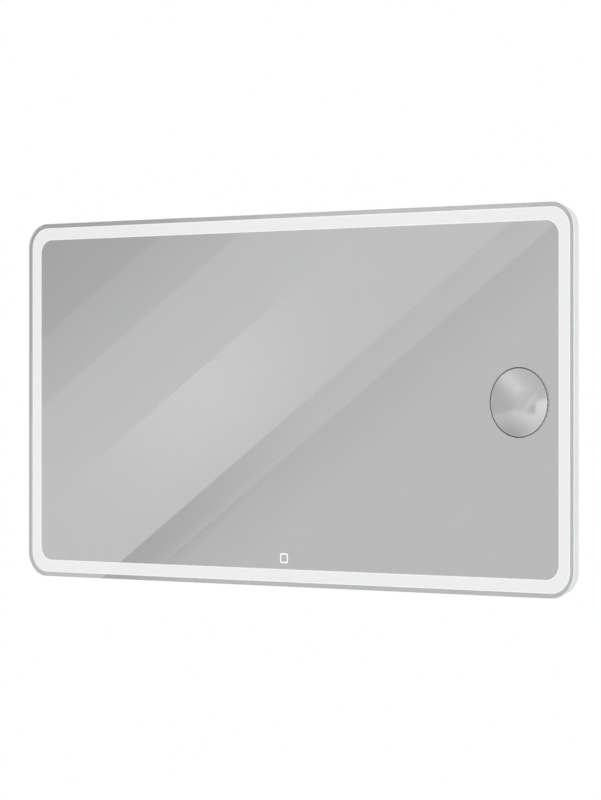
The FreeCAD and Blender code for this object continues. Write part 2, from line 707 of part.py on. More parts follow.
# ---------------------------------------------------------------------------------------------------------
# Back panel, hangers and wiring cover
# ---------------------------------------------------------------------------------------------------------
driver_hole_x = s.driver_long / 2 + s.driver_foot / 2
driver_hole_z = s.driver_wide / 2 - s.boss_radius - s.edge_land
DRIVER_SCREWS = [(s.driver_x + dx * driver_hole_x, s.driver_z + dz * driver_hole_z)
                 for dx in (-1, 1) for dz in (-1, 1)]


def make_back_panel():
    body = new_body("Panel")
    sketch = sketch_at(body, 0)
    inset_outline(sketch, s.frame_inset + s.frame_wall + s.panel_gap)
    for side in (-1, 1):
        rounded_rectangle(sketch, side * hanger_x, hanger_z, s.hanger_wide, s.hanger_high,
                          s.hanger_round)
    rounded_rectangle(sketch, s.cover_x, s.cover_z, s.cover_wide, s.cover_high, s.cover_round)
    pad(body, sketch, s.panel_thick)
    bosses = [stub(f"Boss{i}", x, z, s.panel_thick, s.boss_radius, s.boss_high)
              for i, (x, z) in enumerate(DRIVER_SCREWS)]
    taps = [stub(f"Tap{i}", x, z, s.panel_thick / 2, clear_hole, s.boss_high + s.panel_thick)
            for i, (x, z) in enumerate(DRIVER_SCREWS)]
    earth_hole = stub("EarthHole", s.cover_x, s.earth_z, 0, s.stud_radius + s.fit_gap, s.boss_high)
    screw_sinks = [sink(f"ScrewSink{i}", x, z, s.screw_radius, s.screw_head)
                   for i, (x, z) in enumerate(PANEL_SCREWS + COVER_SCREWS)]
    rivet_sinks = [sink(f"RivetSink{i}", x, z, s.rivet_radius, s.rivet_head)
                   for i, (x, z) in enumerate(RAIL_RIVETS + HANGER_RIVETS)]
    whole = joined("PanelAndBosses", body, *bosses)
    subpart(cut("PanelCut", whole, earth_hole, *taps, *screw_sinks, *rivet_sinks), "back_panel")


def dish(name, x, z, wide, high, round_, depth, thick, flange):
    """A pressed pocket: its flange lies on the panel's inside, its floor starts at depth from the wall."""
    body = new_body(name)
    sketch = sketch_at(body, s.panel_thick)
    rounded_rectangle(sketch, x, z, wide + 2 * flange, high + 2 * flange, round_ + flange)
    pad(body, sketch, thick)
    sketch = sketch_at(body, s.panel_thick)
    rounded_rectangle(sketch, x, z, wide + 2 * thick, high + 2 * thick, round_ + thick)
    pad(body, sketch, depth + thick - s.panel_thick)
    sketch = sketch_at(body, depth)
    rounded_rectangle(sketch, x, z, wide, high, round_)
    pocket(body, sketch, depth)
    return body


def make_hangers():
    for side, word in ((-1, "left"), (1, "right")):
        x = side * hanger_x
        body = dish(f"Hanger_{word}", x, hanger_z, s.hanger_wide, s.hanger_high, s.hanger_round,
                    s.hanger_deep, s.hanger_thick, s.hanger_flange)
        eye = hanger_z - s.keyhole_drop
        sketch = sketch_at(body, s.hanger_deep + s.hanger_thick)
        circle(sketch, x, eye, s.keyhole_radius)
        pocket(body, sketch, s.hanger_thick)
        sketch = sketch_at(body, s.hanger_deep + s.hanger_thick)
        upright_slot(sketch, x, eye, eye + s.keyhole_rise, s.keyhole_slot)
        pocket(body, sketch, s.hanger_thick)
        centre = side * hanger_x.value
        holes = [stub(f"Hanger_{word}_hole{i}", hx, hz, 0, rivet_hole, s.hanger_deep)
                 for i, (hx, hz) in enumerate(HANGER_RIVETS) if abs(hx.value - centre) < s.hanger_wide.value]
        subpart(cut(f"Hanger_{word}_cut", body, *holes), f"hanger_{word}")


cover_top = s.cover_deep + s.cover_thick
grommet_at = s.cover_x + s.grommet_x
block_at = s.cover_x + s.block_x
clamp_at = (grommet_at - s.grommet_rim + block_at + s.block_long / 2) / 2
clamp_hole_z = s.clamp_long / 2 - s.boss_radius - s.edge_land
CLAMP_SCREWS = [(clamp_at, s.cover_z + side * clamp_hole_z) for side in (-1, 1)]
block_hole_x = s.block_long / 2 - s.block_hole_in
clamp_high = s.clamp_base + s.clamp_bridge
BLOCK_SCREWS = [(block_at + side * block_hole_x, s.cover_z) for side in (-1, 1)]


def make_wiring_cover():
    body = dish("Cover", s.cover_x, s.cover_z, s.cover_wide, s.cover_high, s.cover_round,
                s.cover_deep, s.cover_thick, s.cover_flange)
    holes = [stub(f"CoverHole{i}", x, z, 0, clear_hole, s.cover_deep)
             for i, (x, z) in enumerate(COVER_SCREWS)]
    below, through = s.cover_deep - s.cover_thick, 3 * s.cover_thick
    inner = [stub(f"CoverTap{i}", x, z, below, clear_hole, through)
             for i, (x, z) in enumerate(CLAMP_SCREWS + BLOCK_SCREWS)]
    eye = stub("CoverEye", grommet_at, s.cover_z, below, s.grommet_neck, through)
    subpart(cut("CoverCut", body, eye, *holes, *inner), "wiring_cover")

    neck = stub("GrommetNeck", grommet_at, s.cover_z, s.cover_deep, s.grommet_neck, s.cover_thick)
    rims = [stub(f"GrommetRim{i}", grommet_at, s.cover_z, rise, s.grommet_rim, s.grommet_rim_thick)
            for i, rise in enumerate((s.cover_deep - s.grommet_rim_thick, cover_top))]
    bore = stub("GrommetBore", grommet_at, s.cover_z, 0, s.grommet_bore, s.mirror_deep)
    subpart(cut("Grommet", joined("GrommetSolid", neck, *rims), bore), "cable_grommet")


def pan_screw(name, x, z, seat, depth):
    """A screw driven towards the wall: its head sits on seat and its shank goes depth below it."""
    head = stub(name + "_head", x, z, seat, s.screw_head, s.pan_high)
    shank = stub(name + "_shank", x, z, seat - depth, s.screw_radius, depth + s.pan_high / 2)
    return joined(name, head, shank)


def make_terminal_block():
    """Three poles side by side, each with an entry at both ends and a clamping screw for each."""
    x, z = block_at, s.cover_z
    shell = block("BlockShell", x, z, cover_top, s.block_long, s.block_wide, s.block_high)
    foot = cover_top + s.block_foot
    tools, screws = [], []
    for i, (hx, hz) in enumerate(BLOCK_SCREWS):
        tools.append(stub(f"BlockWay{i}", hx, hz, cover_top, clear_hole, s.block_high))
        tools.append(stub(f"BlockSink{i}", hx, hz, foot, s.screw_head + s.fit_gap, s.block_high))
    pole = s.block_wide / 3
    well = cover_top + s.block_high - s.pole_well
    for i in (-1, 0, 1):
        for j in (-1, 1):
            sx = x + j * s.block_long / 6
            sz = z + i * pole
            tools.append(stub(f"BlockWell{i}{j}", sx, sz, well, s.pole_screw + s.fit_gap, s.block_high))
            screws.append(stub(f"BlockScrew{i}{j}", sx, sz, well, s.pole_screw, s.pole_screw_high))
    subpart(cut("Block", shell, *tools), "terminal_block")
    subpart(group("BlockScrews", screws), "terminal_screws")
    through = s.cover_thick + s.screw_tip
    fixings = [pan_screw(f"BlockFixing{i}", hx, hz, foot, s.block_foot + through)
               for i, (hx, hz) in enumerate(BLOCK_SCREWS)]
    fixings += [pan_screw(f"ClampFixing{i}", hx, hz, cover_top + clamp_high, clamp_high + through)
                for i, (hx, hz) in enumerate(CLAMP_SCREWS)]
    subpart(group("CoverFixings", fixings), "clamp_and_block_screws")


def make_cord_clamp():
    """A saddle and a bridge that grip the supply cable just inside the grommet."""
    seat = cover_top + s.clamp_base
    base = block("ClampBase", clamp_at, s.cover_z, cover_top, s.clamp_wide, s.clamp_long, s.clamp_base)
    bridge = block("ClampBridge", clamp_at, s.cover_z, seat, s.clamp_wide, s.clamp_long, s.clamp_bridge)
    tunnel = doc.addObject("Part::Cylinder", "ClampTunnel")
    tunnel.Placement = Placement(Vector(), Rotation(Vector(0, 1, 0), 90))
    for prop, size in (("Radius", s.clamp_tunnel), ("Height", 2 * s.clamp_wide),
                       ("Placement.Base.x", clamp_at - s.clamp_wide),
                       ("Placement.Base.y", -(seat + s.clamp_rise)),
                       ("Placement.Base.z", s.cover_z)):
        bind(tunnel, prop, size)
    holes = [stub(f"ClampHole{i}", x, z, s.cover_deep, clear_hole, s.mirror_deep)
             for i, (x, z) in enumerate(CLAMP_SCREWS)]
    subpart(group("Clamp", [cut("ClampBaseCut", base, *holes),
                            cut("ClampBridgeCut", bridge, tunnel, *holes)]), "cord_clamp")


# ---------------------------------------------------------------------------------------------------------
# Support channels between the panel and the glass
# ---------------------------------------------------------------------------------------------------------
def channel(name, start, end, along_x, side):
    """A C-section with its web towards the glass's edge and its flanges inwards.

    start and end are along the channel; side is +1 for the top or right one, -1 for the bottom or left.
    """
    edge = half_high if along_x else half_wide
    web = side * (edge - s.rail_inset)
    tip = side * (edge - s.rail_inset - s.rail_wide)
    inner = side * (edge - s.rail_inset - s.rail_thick)
    low, high = s.panel_thick, frame_top
    t = s.rail_thick
    section = [(web, low), (web, high), (tip, high), (tip, high - t), (inner, high - t),
               (inner, low + t), (tip, low + t), (tip, low)]
    body = new_body(name)
    if along_x:  # the YZ plane's sketch has x = Y and y = Z, so a rise is a negative x
        sketch = sketch_at(body, (start + end) / 2, "YZ_Plane")
        polygon(sketch, [(-rise, across) for across, rise in section])
    else:  # the XY plane's sketch has x = X and y = Y
        sketch = sketch_at(body, (start + end) / 2, "XY_Plane")
        polygon(sketch, [(across, -rise) for across, rise in section])
    pad(body, sketch, end - start, both_ways=True)
    return body


def make_rails():
    rails = (
        ("top", -rail_x, rail_x, True, 1),
        ("bottom_left", -rail_x, -s.rail_break, True, -1),
        ("bottom_right", s.rail_break, rail_x, True, -1),
        ("left", -rail_z, rail_z, False, -1),
        ("right", -rail_z, rail_z, False, 1),
    )
    holes = [stub(f"RailHole{i}", x, z, 0, rivet_hole, 2 * s.rail_thick + s.panel_thick)
             for i, (x, z) in enumerate(RAIL_RIVETS)]
    tapes = []
    tape_wide = s.rail_wide - 2 * s.tape_edge
    for word, start, end, along_x, side in rails:
        body = channel(f"Rail_{word}", start, end, along_x, side)
        box = body.Shape.BoundBox
        mine = [h for h, (x, z) in zip(holes, RAIL_RIVETS)
                if box.isInside(Vector(as_size(x).value, box.Center.y, as_size(z).value))]
        subpart(cut(f"Rail_{word}_cut", body, *mine), f"support_rail_{word}")
        middle, length = (start + end) / 2, end - start
        across = side * ((half_high if along_x else half_wide) - s.rail_inset - s.rail_wide / 2)
        place = (middle, across) if along_x else (across, middle)
        extent = (length, tape_wide) if along_x else (tape_wide, length)
        tapes.append(block(f"RailTape_{word}", *place, frame_top, *extent, s.tape_thick))
    subpart(group("RailTapes", tapes), "rail_tape")


# ---------------------------------------------------------------------------------------------------------
# LED strips
# ---------------------------------------------------------------------------------------------------------
def make_strips():
    chip_rise = s.panel_thick + s.strip_thick
    sides = (("top", True, 1), ("bottom", True, -1), ("left", False, -1), ("right", False, 1))
    for word, along_x, side in sides:
        half_run = (half_wide if along_x else half_high) - s.strip_end
        across = side * ((half_high if along_x else half_wide) - strip_inset)
        place = (as_size(0), across) if along_x else (across, as_size(0))
        extent = (2 * half_run, s.strip_wide) if along_x else (s.strip_wide, 2 * half_run)
        subpart(block(f"Strip_{word}", *place, s.panel_thick, *extent, s.strip_thick), f"led_strip_{word}")
        pairs = int((half_run.value - s.chip_long.value / 2) / s.chip_pitch.value + 0.5)
        chips = []
        for i in range(-pairs, pairs):
            along = (i + 0.5) * s.chip_pitch
            where = (along, across) if along_x else (across, along)
            chip = (s.chip_long, s.chip_wide) if along_x else (s.chip_wide, s.chip_long)
            chips.append(block(f"Chip_{word}{i + pairs}", *where, chip_rise, *chip, s.chip_high))
        subpart(group(f"Chips_{word}", chips), f"leds_{word}")
    subpart(block("StripPlug", s.plug_x, strip_inset - half_high, chip_rise, s.plug_long, s.strip_wide,
                  s.plug_high), "strip_connector")


# ---------------------------------------------------------------------------------------------------------
# LED driver, earth stud, touch sensor
# ---------------------------------------------------------------------------------------------------------
# name, x and z from the driver's middle, then a block's size or a can's radius and height
BOARD_BLOCKS = (
    ("Transformer", 12, 0, (26, 24, 8)),
    ("Choke", -32, 6, (14, 12, 7)),
    ("PowerSwitch", -8, 9, (5, 9, 7.5)),
)
BOARD_CANS = (
    ("InputCan", -52, -7, 5, 8),
    ("OutputCanHigh", 46, 7, 4.5, 8),
    ("OutputCanLow", 46, -7, 4.5, 8),
)


def make_driver():
    x, z = s.driver_x, s.driver_z
    seat = s.panel_thick + s.boss_high
    wall, cap = s.driver_wall, s.driver_cap
    shell = block("DriverShell", x, z, seat, s.driver_long, s.driver_wide, s.driver_high)
    hollow = block("DriverHollow", x, z, seat + wall, s.driver_long + 2 * cap, s.driver_wide - 2 * wall,
                   s.driver_high - 2 * wall)
    feet = [block(f"DriverFoot{i}", x + i * (s.driver_long / 2 + s.driver_foot / 2), z, seat,
                  s.driver_foot, s.driver_wide, wall) for i in (-1, 1)]
    holes = [stub(f"DriverHole{i}", hx, hz, 0, clear_hole, seat + 2 * wall)
             for i, (hx, hz) in enumerate(DRIVER_SCREWS)]
    case = cut("DriverTube", shell, hollow)
    subpart(cut("DriverCase", joined("DriverCaseWhole", case, *feet), *holes), "driver_case")

    end = s.driver_long / 2 - cap / 2
    caps = [block(f"DriverCap{i}", x + i * end, z, seat + wall, cap, s.driver_wide - 2 * wall,
                  s.driver_high - 2 * wall) for i in (-1, 1)]
    subpart(group("DriverCaps", caps), "driver_end_caps")

    board_long = s.driver_long - 2 * cap
    board_rise = seat + wall + s.driver_clear
    subpart(block("DriverBoard", x, z, board_rise, board_long, s.driver_wide - 2 * wall, s.board_thick),
            "driver_board")
    top = board_rise + s.board_thick
    parts = [block(name, x + dx, z + dz, top, *extent) for name, dx, dz, extent in BOARD_BLOCKS]
    parts += [stub(name, x + dx, z + dz, top, radius, high) for name, dx, dz, radius, high in BOARD_CANS]
    subpart(group("DriverParts", parts), "driver_components")
    screws = [pan_screw(f"DriverScrew{i}", hx, hz, seat + wall, s.boss_high + wall)
              for i, (hx, hz) in enumerate(DRIVER_SCREWS)]
    subpart(group("DriverScrews", screws), "driver_screws")


def make_earth_stud():
    """A stud clinched in the panel, the lead's ring on it, and a nut."""
    x, z = s.cover_x, s.earth_z
    stud = stub("EarthStud", x, z, 0, s.stud_radius, s.stud_long)
    seat = stub("EarthSeat", x, z, s.panel_thick, 2 * s.stud_radius, s.lug_thick)
    subpart(joined("EarthStudWhole", stud, seat), "earth_stud")
    nut_rise = s.panel_thick + 2 * s.lug_thick
    nut = doc.addObject("Part::Prism", "EarthNut")
    nut.Placement = Placement(Vector(), OFF_THE_WALL)
    nut.Polygon = 6
    for prop, size in (("Circumradius", s.nut_across / math.sqrt(3)), ("Height", s.nut_high),
                       ("Placement.Base.x", x), ("Placement.Base.y", -nut_rise), ("Placement.Base.z", z)):
        bind(nut, prop, size)
    bore = stub("EarthNutBore", x, z, 0, s.stud_radius + s.fit_gap, s.mirror_deep)
    subpart(cut("EarthNutCut", nut, bore), "earth_nut")
    lug_rise = s.panel_thick + s.lug_thick
    ring = stub("EarthRing", x, z, lug_rise, 2 * s.stud_radius, s.lug_thick)
    tongue_z, barrel_z = z - s.tongue_drop, z - s.barrel_drop
    tongue = block("EarthTongue", x, tongue_z, lug_rise, s.tongue_wide, s.tongue_long, s.lug_thick)
    barrel = block("EarthBarrel", x, barrel_z, lug_rise, s.barrel_wide, s.barrel_long, s.barrel_high)
    hole = stub("EarthRingHole", x, z, 0, s.stud_radius + s.fit_gap, s.mirror_deep)
    subpart(cut("EarthLug", joined("EarthLugWhole", ring, tongue, barrel), hole), "earth_lug")


def make_touch_sensor():
    """Stuck to the silvering behind the touch mark, with an open window for the mark's light."""
    z = icon_z
    top = coat_back - s.sensor_glue
    floor = top - s.sensor_deep
    window = s.icon_size + s.sensor_window
    sheet_glue = block("SensorGlue", 0, z, top, s.sensor_wide, s.sensor_high, s.sensor_glue)
    glue_window = block("SensorGlueWindow", 0, z, floor, window, window, 2 * s.sensor_deep)
    subpart(cut("SensorPad", sheet_glue, glue_window), "sensor_adhesive")
    shell = block("SensorShell", 0, z, floor, s.sensor_wide, s.sensor_high, s.sensor_deep)
    room = block("SensorRoom", 0, z, floor + s.sensor_wall, s.sensor_wide - 2 * s.sensor_wall,
                 s.sensor_high - 2 * s.sensor_wall, s.sensor_deep - 2 * s.sensor_wall)
    light_well = block("SensorWindow", 0, z, top - 2 * s.sensor_wall, window, window, 4 * s.sensor_wall)
    subpart(cut("SensorCase", shell, room, light_well), "sensor_case")
    board_rise = floor + s.sensor_wall
    rim = 2 * (s.sensor_wall + s.board_gap)
    subpart(block("SensorBoard", 0, z, board_rise, s.sensor_wide - rim, s.sensor_high - rim, s.board_thick),
            "sensor_board")
    lights = [block(f"SensorLight{i}", i * s.sensor_light_x, z, board_rise + s.board_thick, s.chip_long,
                    s.chip_wide, s.chip_high) for i in (-1, 1)]
    subpart(group("SensorLights", lights), "sensor_leds")


# ---------------------------------------------------------------------------------------------------------
# Leads: straight runs joined by tangent arcs, each as large as its two runs allow
# ---------------------------------------------------------------------------------------------------------
def lead_path(points):
    """The centre line through points, with its corners rounded, and its smallest radius."""
    edges, tightest = [], math.inf
    here = points[0]
    for before, corner, after in zip(points, points[1:], points[2:]):
        into, out = corner - before, after - corner
        turn = into.getAngle(out)
        back = 0.45 * min(into.Length, out.Length)
        radius = back / math.tan(turn / 2)
        tightest = min(tightest, radius)
        first = corner - into.normalize() * back
        last = corner + out.normalize() * back
        middle_way = (first + last) * 0.5 - corner
        reach = radius / math.cos(turn / 2) - radius
        edges.append(Part.LineSegment(here, first).toShape())
        edges.append(Part.Arc(first, corner + middle_way.normalize() * reach, last).toShape())
        here = last
    edges.append(Part.LineSegment(here, points[-1]).toShape())
    return Part.Wire(edges), tightest


def lead(label, places, thick):
    """A round lead through places given as X, Z and rise."""
    points = [Vector(as_size(x).value, -as_size(rise).value, as_size(z).value) for x, z, rise in places]
    wire, tightest = lead_path(points)
    start = Part.Circle(points[0], points[1] - points[0], as_size(thick).value / 2)
    profile = Part.Wire([start.toShape()])
    tube = wire.makePipeShell([profile], True, False)
    expected = math.pi * (as_size(thick).value / 2) ** 2 * wire.Length
    print(f"{label}: {wire.Length:.0f} mm long, least radius {tightest:.1f}, "
          f"volume {tube.Volume / expected:.4f} of section times length")
    return tube


def add_shape(shape, label):
    feature = doc.addObject("Part::Feature", label + "_shape")
    feature.Shape = shape
    feature.Placement = Placement()
    return subpart(feature, label)


# the driver's lead runs down the panel from lead_top to lead_low, then across to the touch sensor
lead_x = s.driver_x - s.driver_long / 2 - s.lead_aside
lead_z = icon_z + s.lead_lift
lead_top = s.driver_z - s.lead_fall
lead_low = lead_z + s.lead_bend
lead_end = -s.sensor_wide / 2 - s.lead_fall
CLIP_PLACES = (
    (lead_x, lead_top - s.clip_in, True),
    (lead_x, lead_low + s.clip_in, True),
    (lead_x + 1.5 * s.lead_bend, lead_z, False),
)


def make_leads():
    driver_right = s.driver_x + s.driver_long / 2
    driver_left = s.driver_x - s.driver_long / 2
    block_left = block_at - s.block_long / 2
    mains = [(block_left, s.cover_z, s.lead_rise + 1), (block_left - 14, s.cover_z, s.lead_rise + 1),
             (block_left - 34, s.cover_z + 5, s.lead_rise), (driver_right + 26, s.cover_z + 3, s.lead_rise),
             (driver_right + 12, s.driver_z, s.lead_rise - 1), (driver_right, s.driver_z, s.lead_rise - 1)]
    add_shape(lead("mains_lead", mains, s.mains_thick), "mains_lead")

    lying = s.panel_thick + s.low_thick / 2
    sensor_rise = coat_back - s.sensor_glue - s.sensor_deep / 2
    low = [(driver_left, s.driver_z, s.lead_rise - 1), (driver_left - 16, s.driver_z, s.lead_rise - 1),
           (driver_left - 38, s.driver_z - 12, 5), (lead_x, lead_top, lying),
           (lead_x, (2 * lead_top + lead_low) / 3, lying),
           (lead_x + 0.5, (lead_top + 2 * lead_low) / 3, lying),
           (lead_x, lead_low, lying), (lead_x + s.lead_bend, lead_z, lying),
           (lead_x + 2 * s.lead_bend, lead_z, lying), (lead_x + 3 * s.lead_bend, lead_z - 0.5, lying),
           (lead_end, lead_z, lying + 0.5),
           (-38, icon_z, sensor_rise), (-s.sensor_wide / 2, icon_z, sensor_rise)]
    add_shape(lead("driver_lead", low, s.low_thick), "driver_lead")

    plug_side = strip_inset - half_high + s.strip_wide / 2
    plug_rise = s.panel_thick + s.strip_thick + s.plug_high / 2
    feed = [(s.sensor_wide / 2, icon_z, sensor_rise), (s.sensor_wide / 2 + 15, icon_z, sensor_rise),
            (s.plug_x, icon_z - 8, sensor_rise - 7), (s.plug_x, plug_side + 9, plug_rise),
            (s.plug_x, plug_side, plug_rise)]
    add_shape(lead("strip_lead", feed, s.strip_lead_thick), "strip_lead")

    earth = [(s.cover_x - 22, s.cover_z + s.block_wide / 2, s.lead_rise),
             (s.cover_x - 22, s.cover_z + s.block_wide / 2 + 14, s.lead_rise),
             (s.cover_x - 6, s.cover_z + 42, s.lead_rise - 1),
             (s.cover_x, s.earth_z - 23, s.panel_thick + s.lug_thick + 1.7),
             (s.cover_x, s.earth_z - 13, s.panel_thick + s.lug_thick + 1.7)]
    add_shape(lead("earth_lead", earth, s.strip_lead_thick), "earth_lead")

    # jumpers turn the corners from strip to strip, all but the lower left one
    jumpers = []
    far_x, far_z = half_wide - strip_inset, half_high - strip_inset
    end_x, end_z = half_wide - s.strip_end, half_high - s.strip_end
    rise = s.panel_thick + s.jumper_thick / 2
    for i, (sx, sz) in enumerate(((1, -1), (1, 1), (-1, 1))):
        route = [(sx * end_x, sz * far_z, rise), (sx * (end_x + 18), sz * far_z, rise),
                 (sx * far_x, sz * (end_z + 18), rise), (sx * far_x, sz * end_z, rise)]
        jumpers.append(lead(f"strip jumper {i + 1}", route, s.jumper_thick))
    add_shape(Part.Compound(jumpers), "strip_jumpers")


def make_clips():
    """Adhesive clips that hold the low-voltage lead down on the panel."""
    high = s.low_thick + s.clip_wall
    clips = []
    across = s.low_thick + 2 * s.clip_wall
    way = s.low_thick + 2 * s.clip_room
    for i, (x, z, upright) in enumerate(CLIP_PLACES):
        extent = (across, s.clip_wide) if upright else (s.clip_wide, across)
        body = block(f"ClipBody{i}", x, z, s.panel_thick, *extent, high)
        tunnel = (way, 3 * s.clip_wide) if upright else (3 * s.clip_wide, way)
        room = block(f"ClipRoom{i}", x, z, 0, *tunnel, s.panel_thick + s.low_thick + s.clip_room / 2)
        clips.append(cut(f"Clip{i}", body, room))
    subpart(group("Clips", clips), "lead_clips")


# ---------------------------------------------------------------------------------------------------------
# Build, check, write
# ---------------------------------------------------------------------------------------------------------
for make in (make_glass, make_coatings, make_diffuser, make_glass_tape, make_shaving_mirror,
             make_lens_mounting, make_side_frame, make_joiner, make_back_panel, make_fasteners,
             make_hangers, make_wiring_cover, make_terminal_block, make_cord_clamp, make_rails,
             make_strips, make_driver, make_earth_stud, make_touch_sensor, make_leads, make_clips):
    make()
doc.recompute()

for feature in doc.Objects:
    if {"Invalid", "Error"} & set(feature.State):
        raise RuntimeError(f"{feature.Name} failed: {feature.State}")
os.makedirs("parts", exist_ok=True)
for feature in SUBPARTS:
    if feature.Shape.isNull() or not feature.Shape.isValid() or not feature.Shape.Solids:
        raise RuntimeError(f"{feature.Label} has no valid solid")
    feature.Shape.exportStep(f"parts/{feature.Label}.step")
print(f"{len(SUBPARTS)} sub-parts, {sum(len(f.Shape.Solids) for f in SUBPARTS)} solids")
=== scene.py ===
# %% [markdown]
# # A lighted bathroom mirror
#
# A landscape mirror with rounded corners hangs flat on the wall. Its silvering leaves a band all round
# where the back of the glass is etched, and LEDs behind it light that band. A hollow shaving mirror sits in
# a round hole on the right, and a small square at the bottom marks the touch switch.
#
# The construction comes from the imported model, so this script only dresses it: it gives every part its
# finish, and models again the few parts whose curves or pressed edges show.

# %% Load the frame
import json
import math

import bmesh
import bpy
import numpy as np
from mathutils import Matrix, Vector


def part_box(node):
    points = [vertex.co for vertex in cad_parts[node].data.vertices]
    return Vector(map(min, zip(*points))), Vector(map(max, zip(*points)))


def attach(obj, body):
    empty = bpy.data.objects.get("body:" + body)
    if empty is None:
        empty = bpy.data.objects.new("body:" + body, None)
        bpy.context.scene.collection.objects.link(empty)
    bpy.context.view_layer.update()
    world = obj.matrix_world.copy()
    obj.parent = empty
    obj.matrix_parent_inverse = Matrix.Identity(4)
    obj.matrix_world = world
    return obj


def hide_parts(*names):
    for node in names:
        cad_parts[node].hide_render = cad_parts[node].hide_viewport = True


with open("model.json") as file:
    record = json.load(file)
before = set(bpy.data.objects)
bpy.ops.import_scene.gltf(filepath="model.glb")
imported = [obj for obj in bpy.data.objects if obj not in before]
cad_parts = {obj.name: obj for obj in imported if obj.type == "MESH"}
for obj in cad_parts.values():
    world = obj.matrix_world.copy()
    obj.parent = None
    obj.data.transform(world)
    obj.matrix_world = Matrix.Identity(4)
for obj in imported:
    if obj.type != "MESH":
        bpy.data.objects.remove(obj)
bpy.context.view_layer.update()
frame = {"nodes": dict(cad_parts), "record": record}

MM = 0.001

# %% [markdown]
# ## The camera
#
# The photo was taken level with the mirror's middle, from the user's right. Two numbers fix such a view:
# how far the eye is turned from the mirror's own axis, and the focal length in pixels. Both were fitted to
# the mirror's outline, its lit band and the ellipse of the shaving mirror. A long lens from six metres away
# was the result, which is why the two short sides differ so little.

# %% The camera
PHOTO_HIGH = 800
FOCAL_PX = 3264
SENSOR = 36.0
TURN = math.radians(38.2)
EYE_FROM_GLASS = Vector((3.813, -4.793, 0.0))

forward = Vector((-math.sin(TURN), math.cos(TURN), 0.0))
sideways = Vector((math.cos(TURN), math.sin(TURN), 0.0))
glass_front = Vector((0.0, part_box("mirror_glass")[0].y, 0.0))

lens = bpy.data.cameras.new("photo_view")
lens.sensor_width = SENSOR
lens.lens = SENSOR * FOCAL_PX / PHOTO_HIGH
lens.clip_end = 100.0
camera = bpy.data.objects.new("photo_view", lens)
camera.location = glass_front + EYE_FROM_GLASS
camera.rotation_euler = forward.to_track_quat("-Z", "Y").to_euler()
bpy.context.collection.objects.link(camera)
bpy.context.scene.camera = camera
bpy.context.scene.view_settings.view_transform = "Standard"
print(f"lens {lens.lens:.1f} mm, {EYE_FROM_GLASS.length:.2f} m from the glass")

# %% [markdown]
# ## Short ways to build node trees
#
# Every finish below is a tree of shader nodes. Two helpers keep them readable: one adds a node and joins
# its inputs in the same breath, the other makes a node group with named sockets. An effect that several
# finishes share is such a group, so that it is designed once and tuned in each finish.

# %% Node helpers
class Tree:
    """A node tree, with one call to add a node, set it up and join its inputs."""

    def __init__(self, tree, clear=True):
        self.tree = tree
        if clear:
            self.tree.nodes.clear()

    def add(self, kind, inputs=(), **settings):
        node = self.tree.nodes.new(kind)
        for name, value in settings.items():
            setattr(node, name, value)
        for key, value in dict(inputs).items():
            if isinstance(value, bpy.types.NodeSocket):
                self.tree.links.new(value, node.inputs[key])
            else:
                node.inputs[key].default_value = value
        return node

    def math(self, operation, first, second=0.0, third=0.0):
        return self.add("ShaderNodeMath", {0: first, 1: second, 2: third}, operation=operation).outputs[0]

    def dot(self, vector, constant):
        node = self.add("ShaderNodeVectorMath", {0: vector, 1: tuple(constant)}, operation="DOT_PRODUCT")
        return node.outputs["Value"]

    def ramp(self, factor, stops):
        """A ramp of greys: stops are pairs of position and light."""
        node = self.add("ShaderNodeValToRGB", {0: factor})
        ramp = node.color_ramp
        while len(ramp.elements) > 1:
            ramp.elements.remove(ramp.elements[-1])
        for i, (place, grey) in enumerate(stops):
            element = ramp.elements[0] if i == 0 else ramp.elements.new(place)
            element.position = place
            element.color = (grey, grey, grey, 1.0)
        return node.outputs["Color"]


def new_group(name, inputs, outputs):
    """A node group with sockets given as (name, kind, default) and (name, kind)."""
    group = bpy.data.node_groups.new(name, "ShaderNodeTree")
    for label, kind, default in inputs:
        socket = group.interface.new_socket(label, in_out="INPUT", socket_type=f"NodeSocket{kind}")
        socket.default_value = default
    for label, kind in outputs:
        group.interface.new_socket(label, in_out="OUTPUT", socket_type=f"NodeSocket{kind}")
    tree = Tree(group)
    return group, tree, tree.add("NodeGroupInput").outputs


# %% [markdown]
# ## What the mirror sees
#
# A flat mirror has no look of its own: it shows what stands in front of it. The photo's mirror shows a grey
# room of long, parallel strips that lean to the right. So the studio has such a room, built where it
# belongs, in the world: a direction is measured across the strips and along them, and a ramp turns the
# angle across them into light. Round the strips are a wall with a broad lamp and a brighter ceiling. They
# are there for the shaving mirror, which is hollow: it sees much further round than the flat one, and
# upside down.
#
# The mirror turns the camera's view about its own plane. The three axes below are therefore the camera's,
# seen in the mirror. They are fixed directions in the room, so that another view sees other parts of it.
# The light of the strips and walls was set by comparing renders with the photo, and is rounded.

# %% The room, as directions
LEAN = math.atan2(0.656, 0.754)  # the strips' slope in the picture
into_room = Vector((forward.x, -forward.y, 0.0))
room_right = Vector((sideways.x, -sideways.y, 0.0))
room_up = Vector((0.0, 0.0, 1.0))
along_strips = math.cos(LEAN) * room_right + math.sin(LEAN) * room_up
across_strips = math.sin(LEAN) * room_right - math.cos(LEAN) * room_up

ROOM_REACH = 15.0  # degrees each side, after which the strips repeat
EDGE_REACH = 6.0   # degrees each side in the ramp, which holds 256 steps: few degrees keep its edges sharp
ROOM_GAIN = 1.24   # makes up for the light that the silver and the glass take
SOFTEN = 0.02      # degrees over which one strip's light turns into the next's

# where each strip starts, in degrees across the strips, and its light at its start and at its end
STRIPS = [(-6.0, 0.35, 0.40), (-3.79, 0.43, 0.46), (-2.90, 0.50, 0.52), (-1.56, 0.52, 0.52),
          (0.07, 0.48, 0.50), (0.58, 0.45, 0.48), (1.5, 0.485, 0.485)]
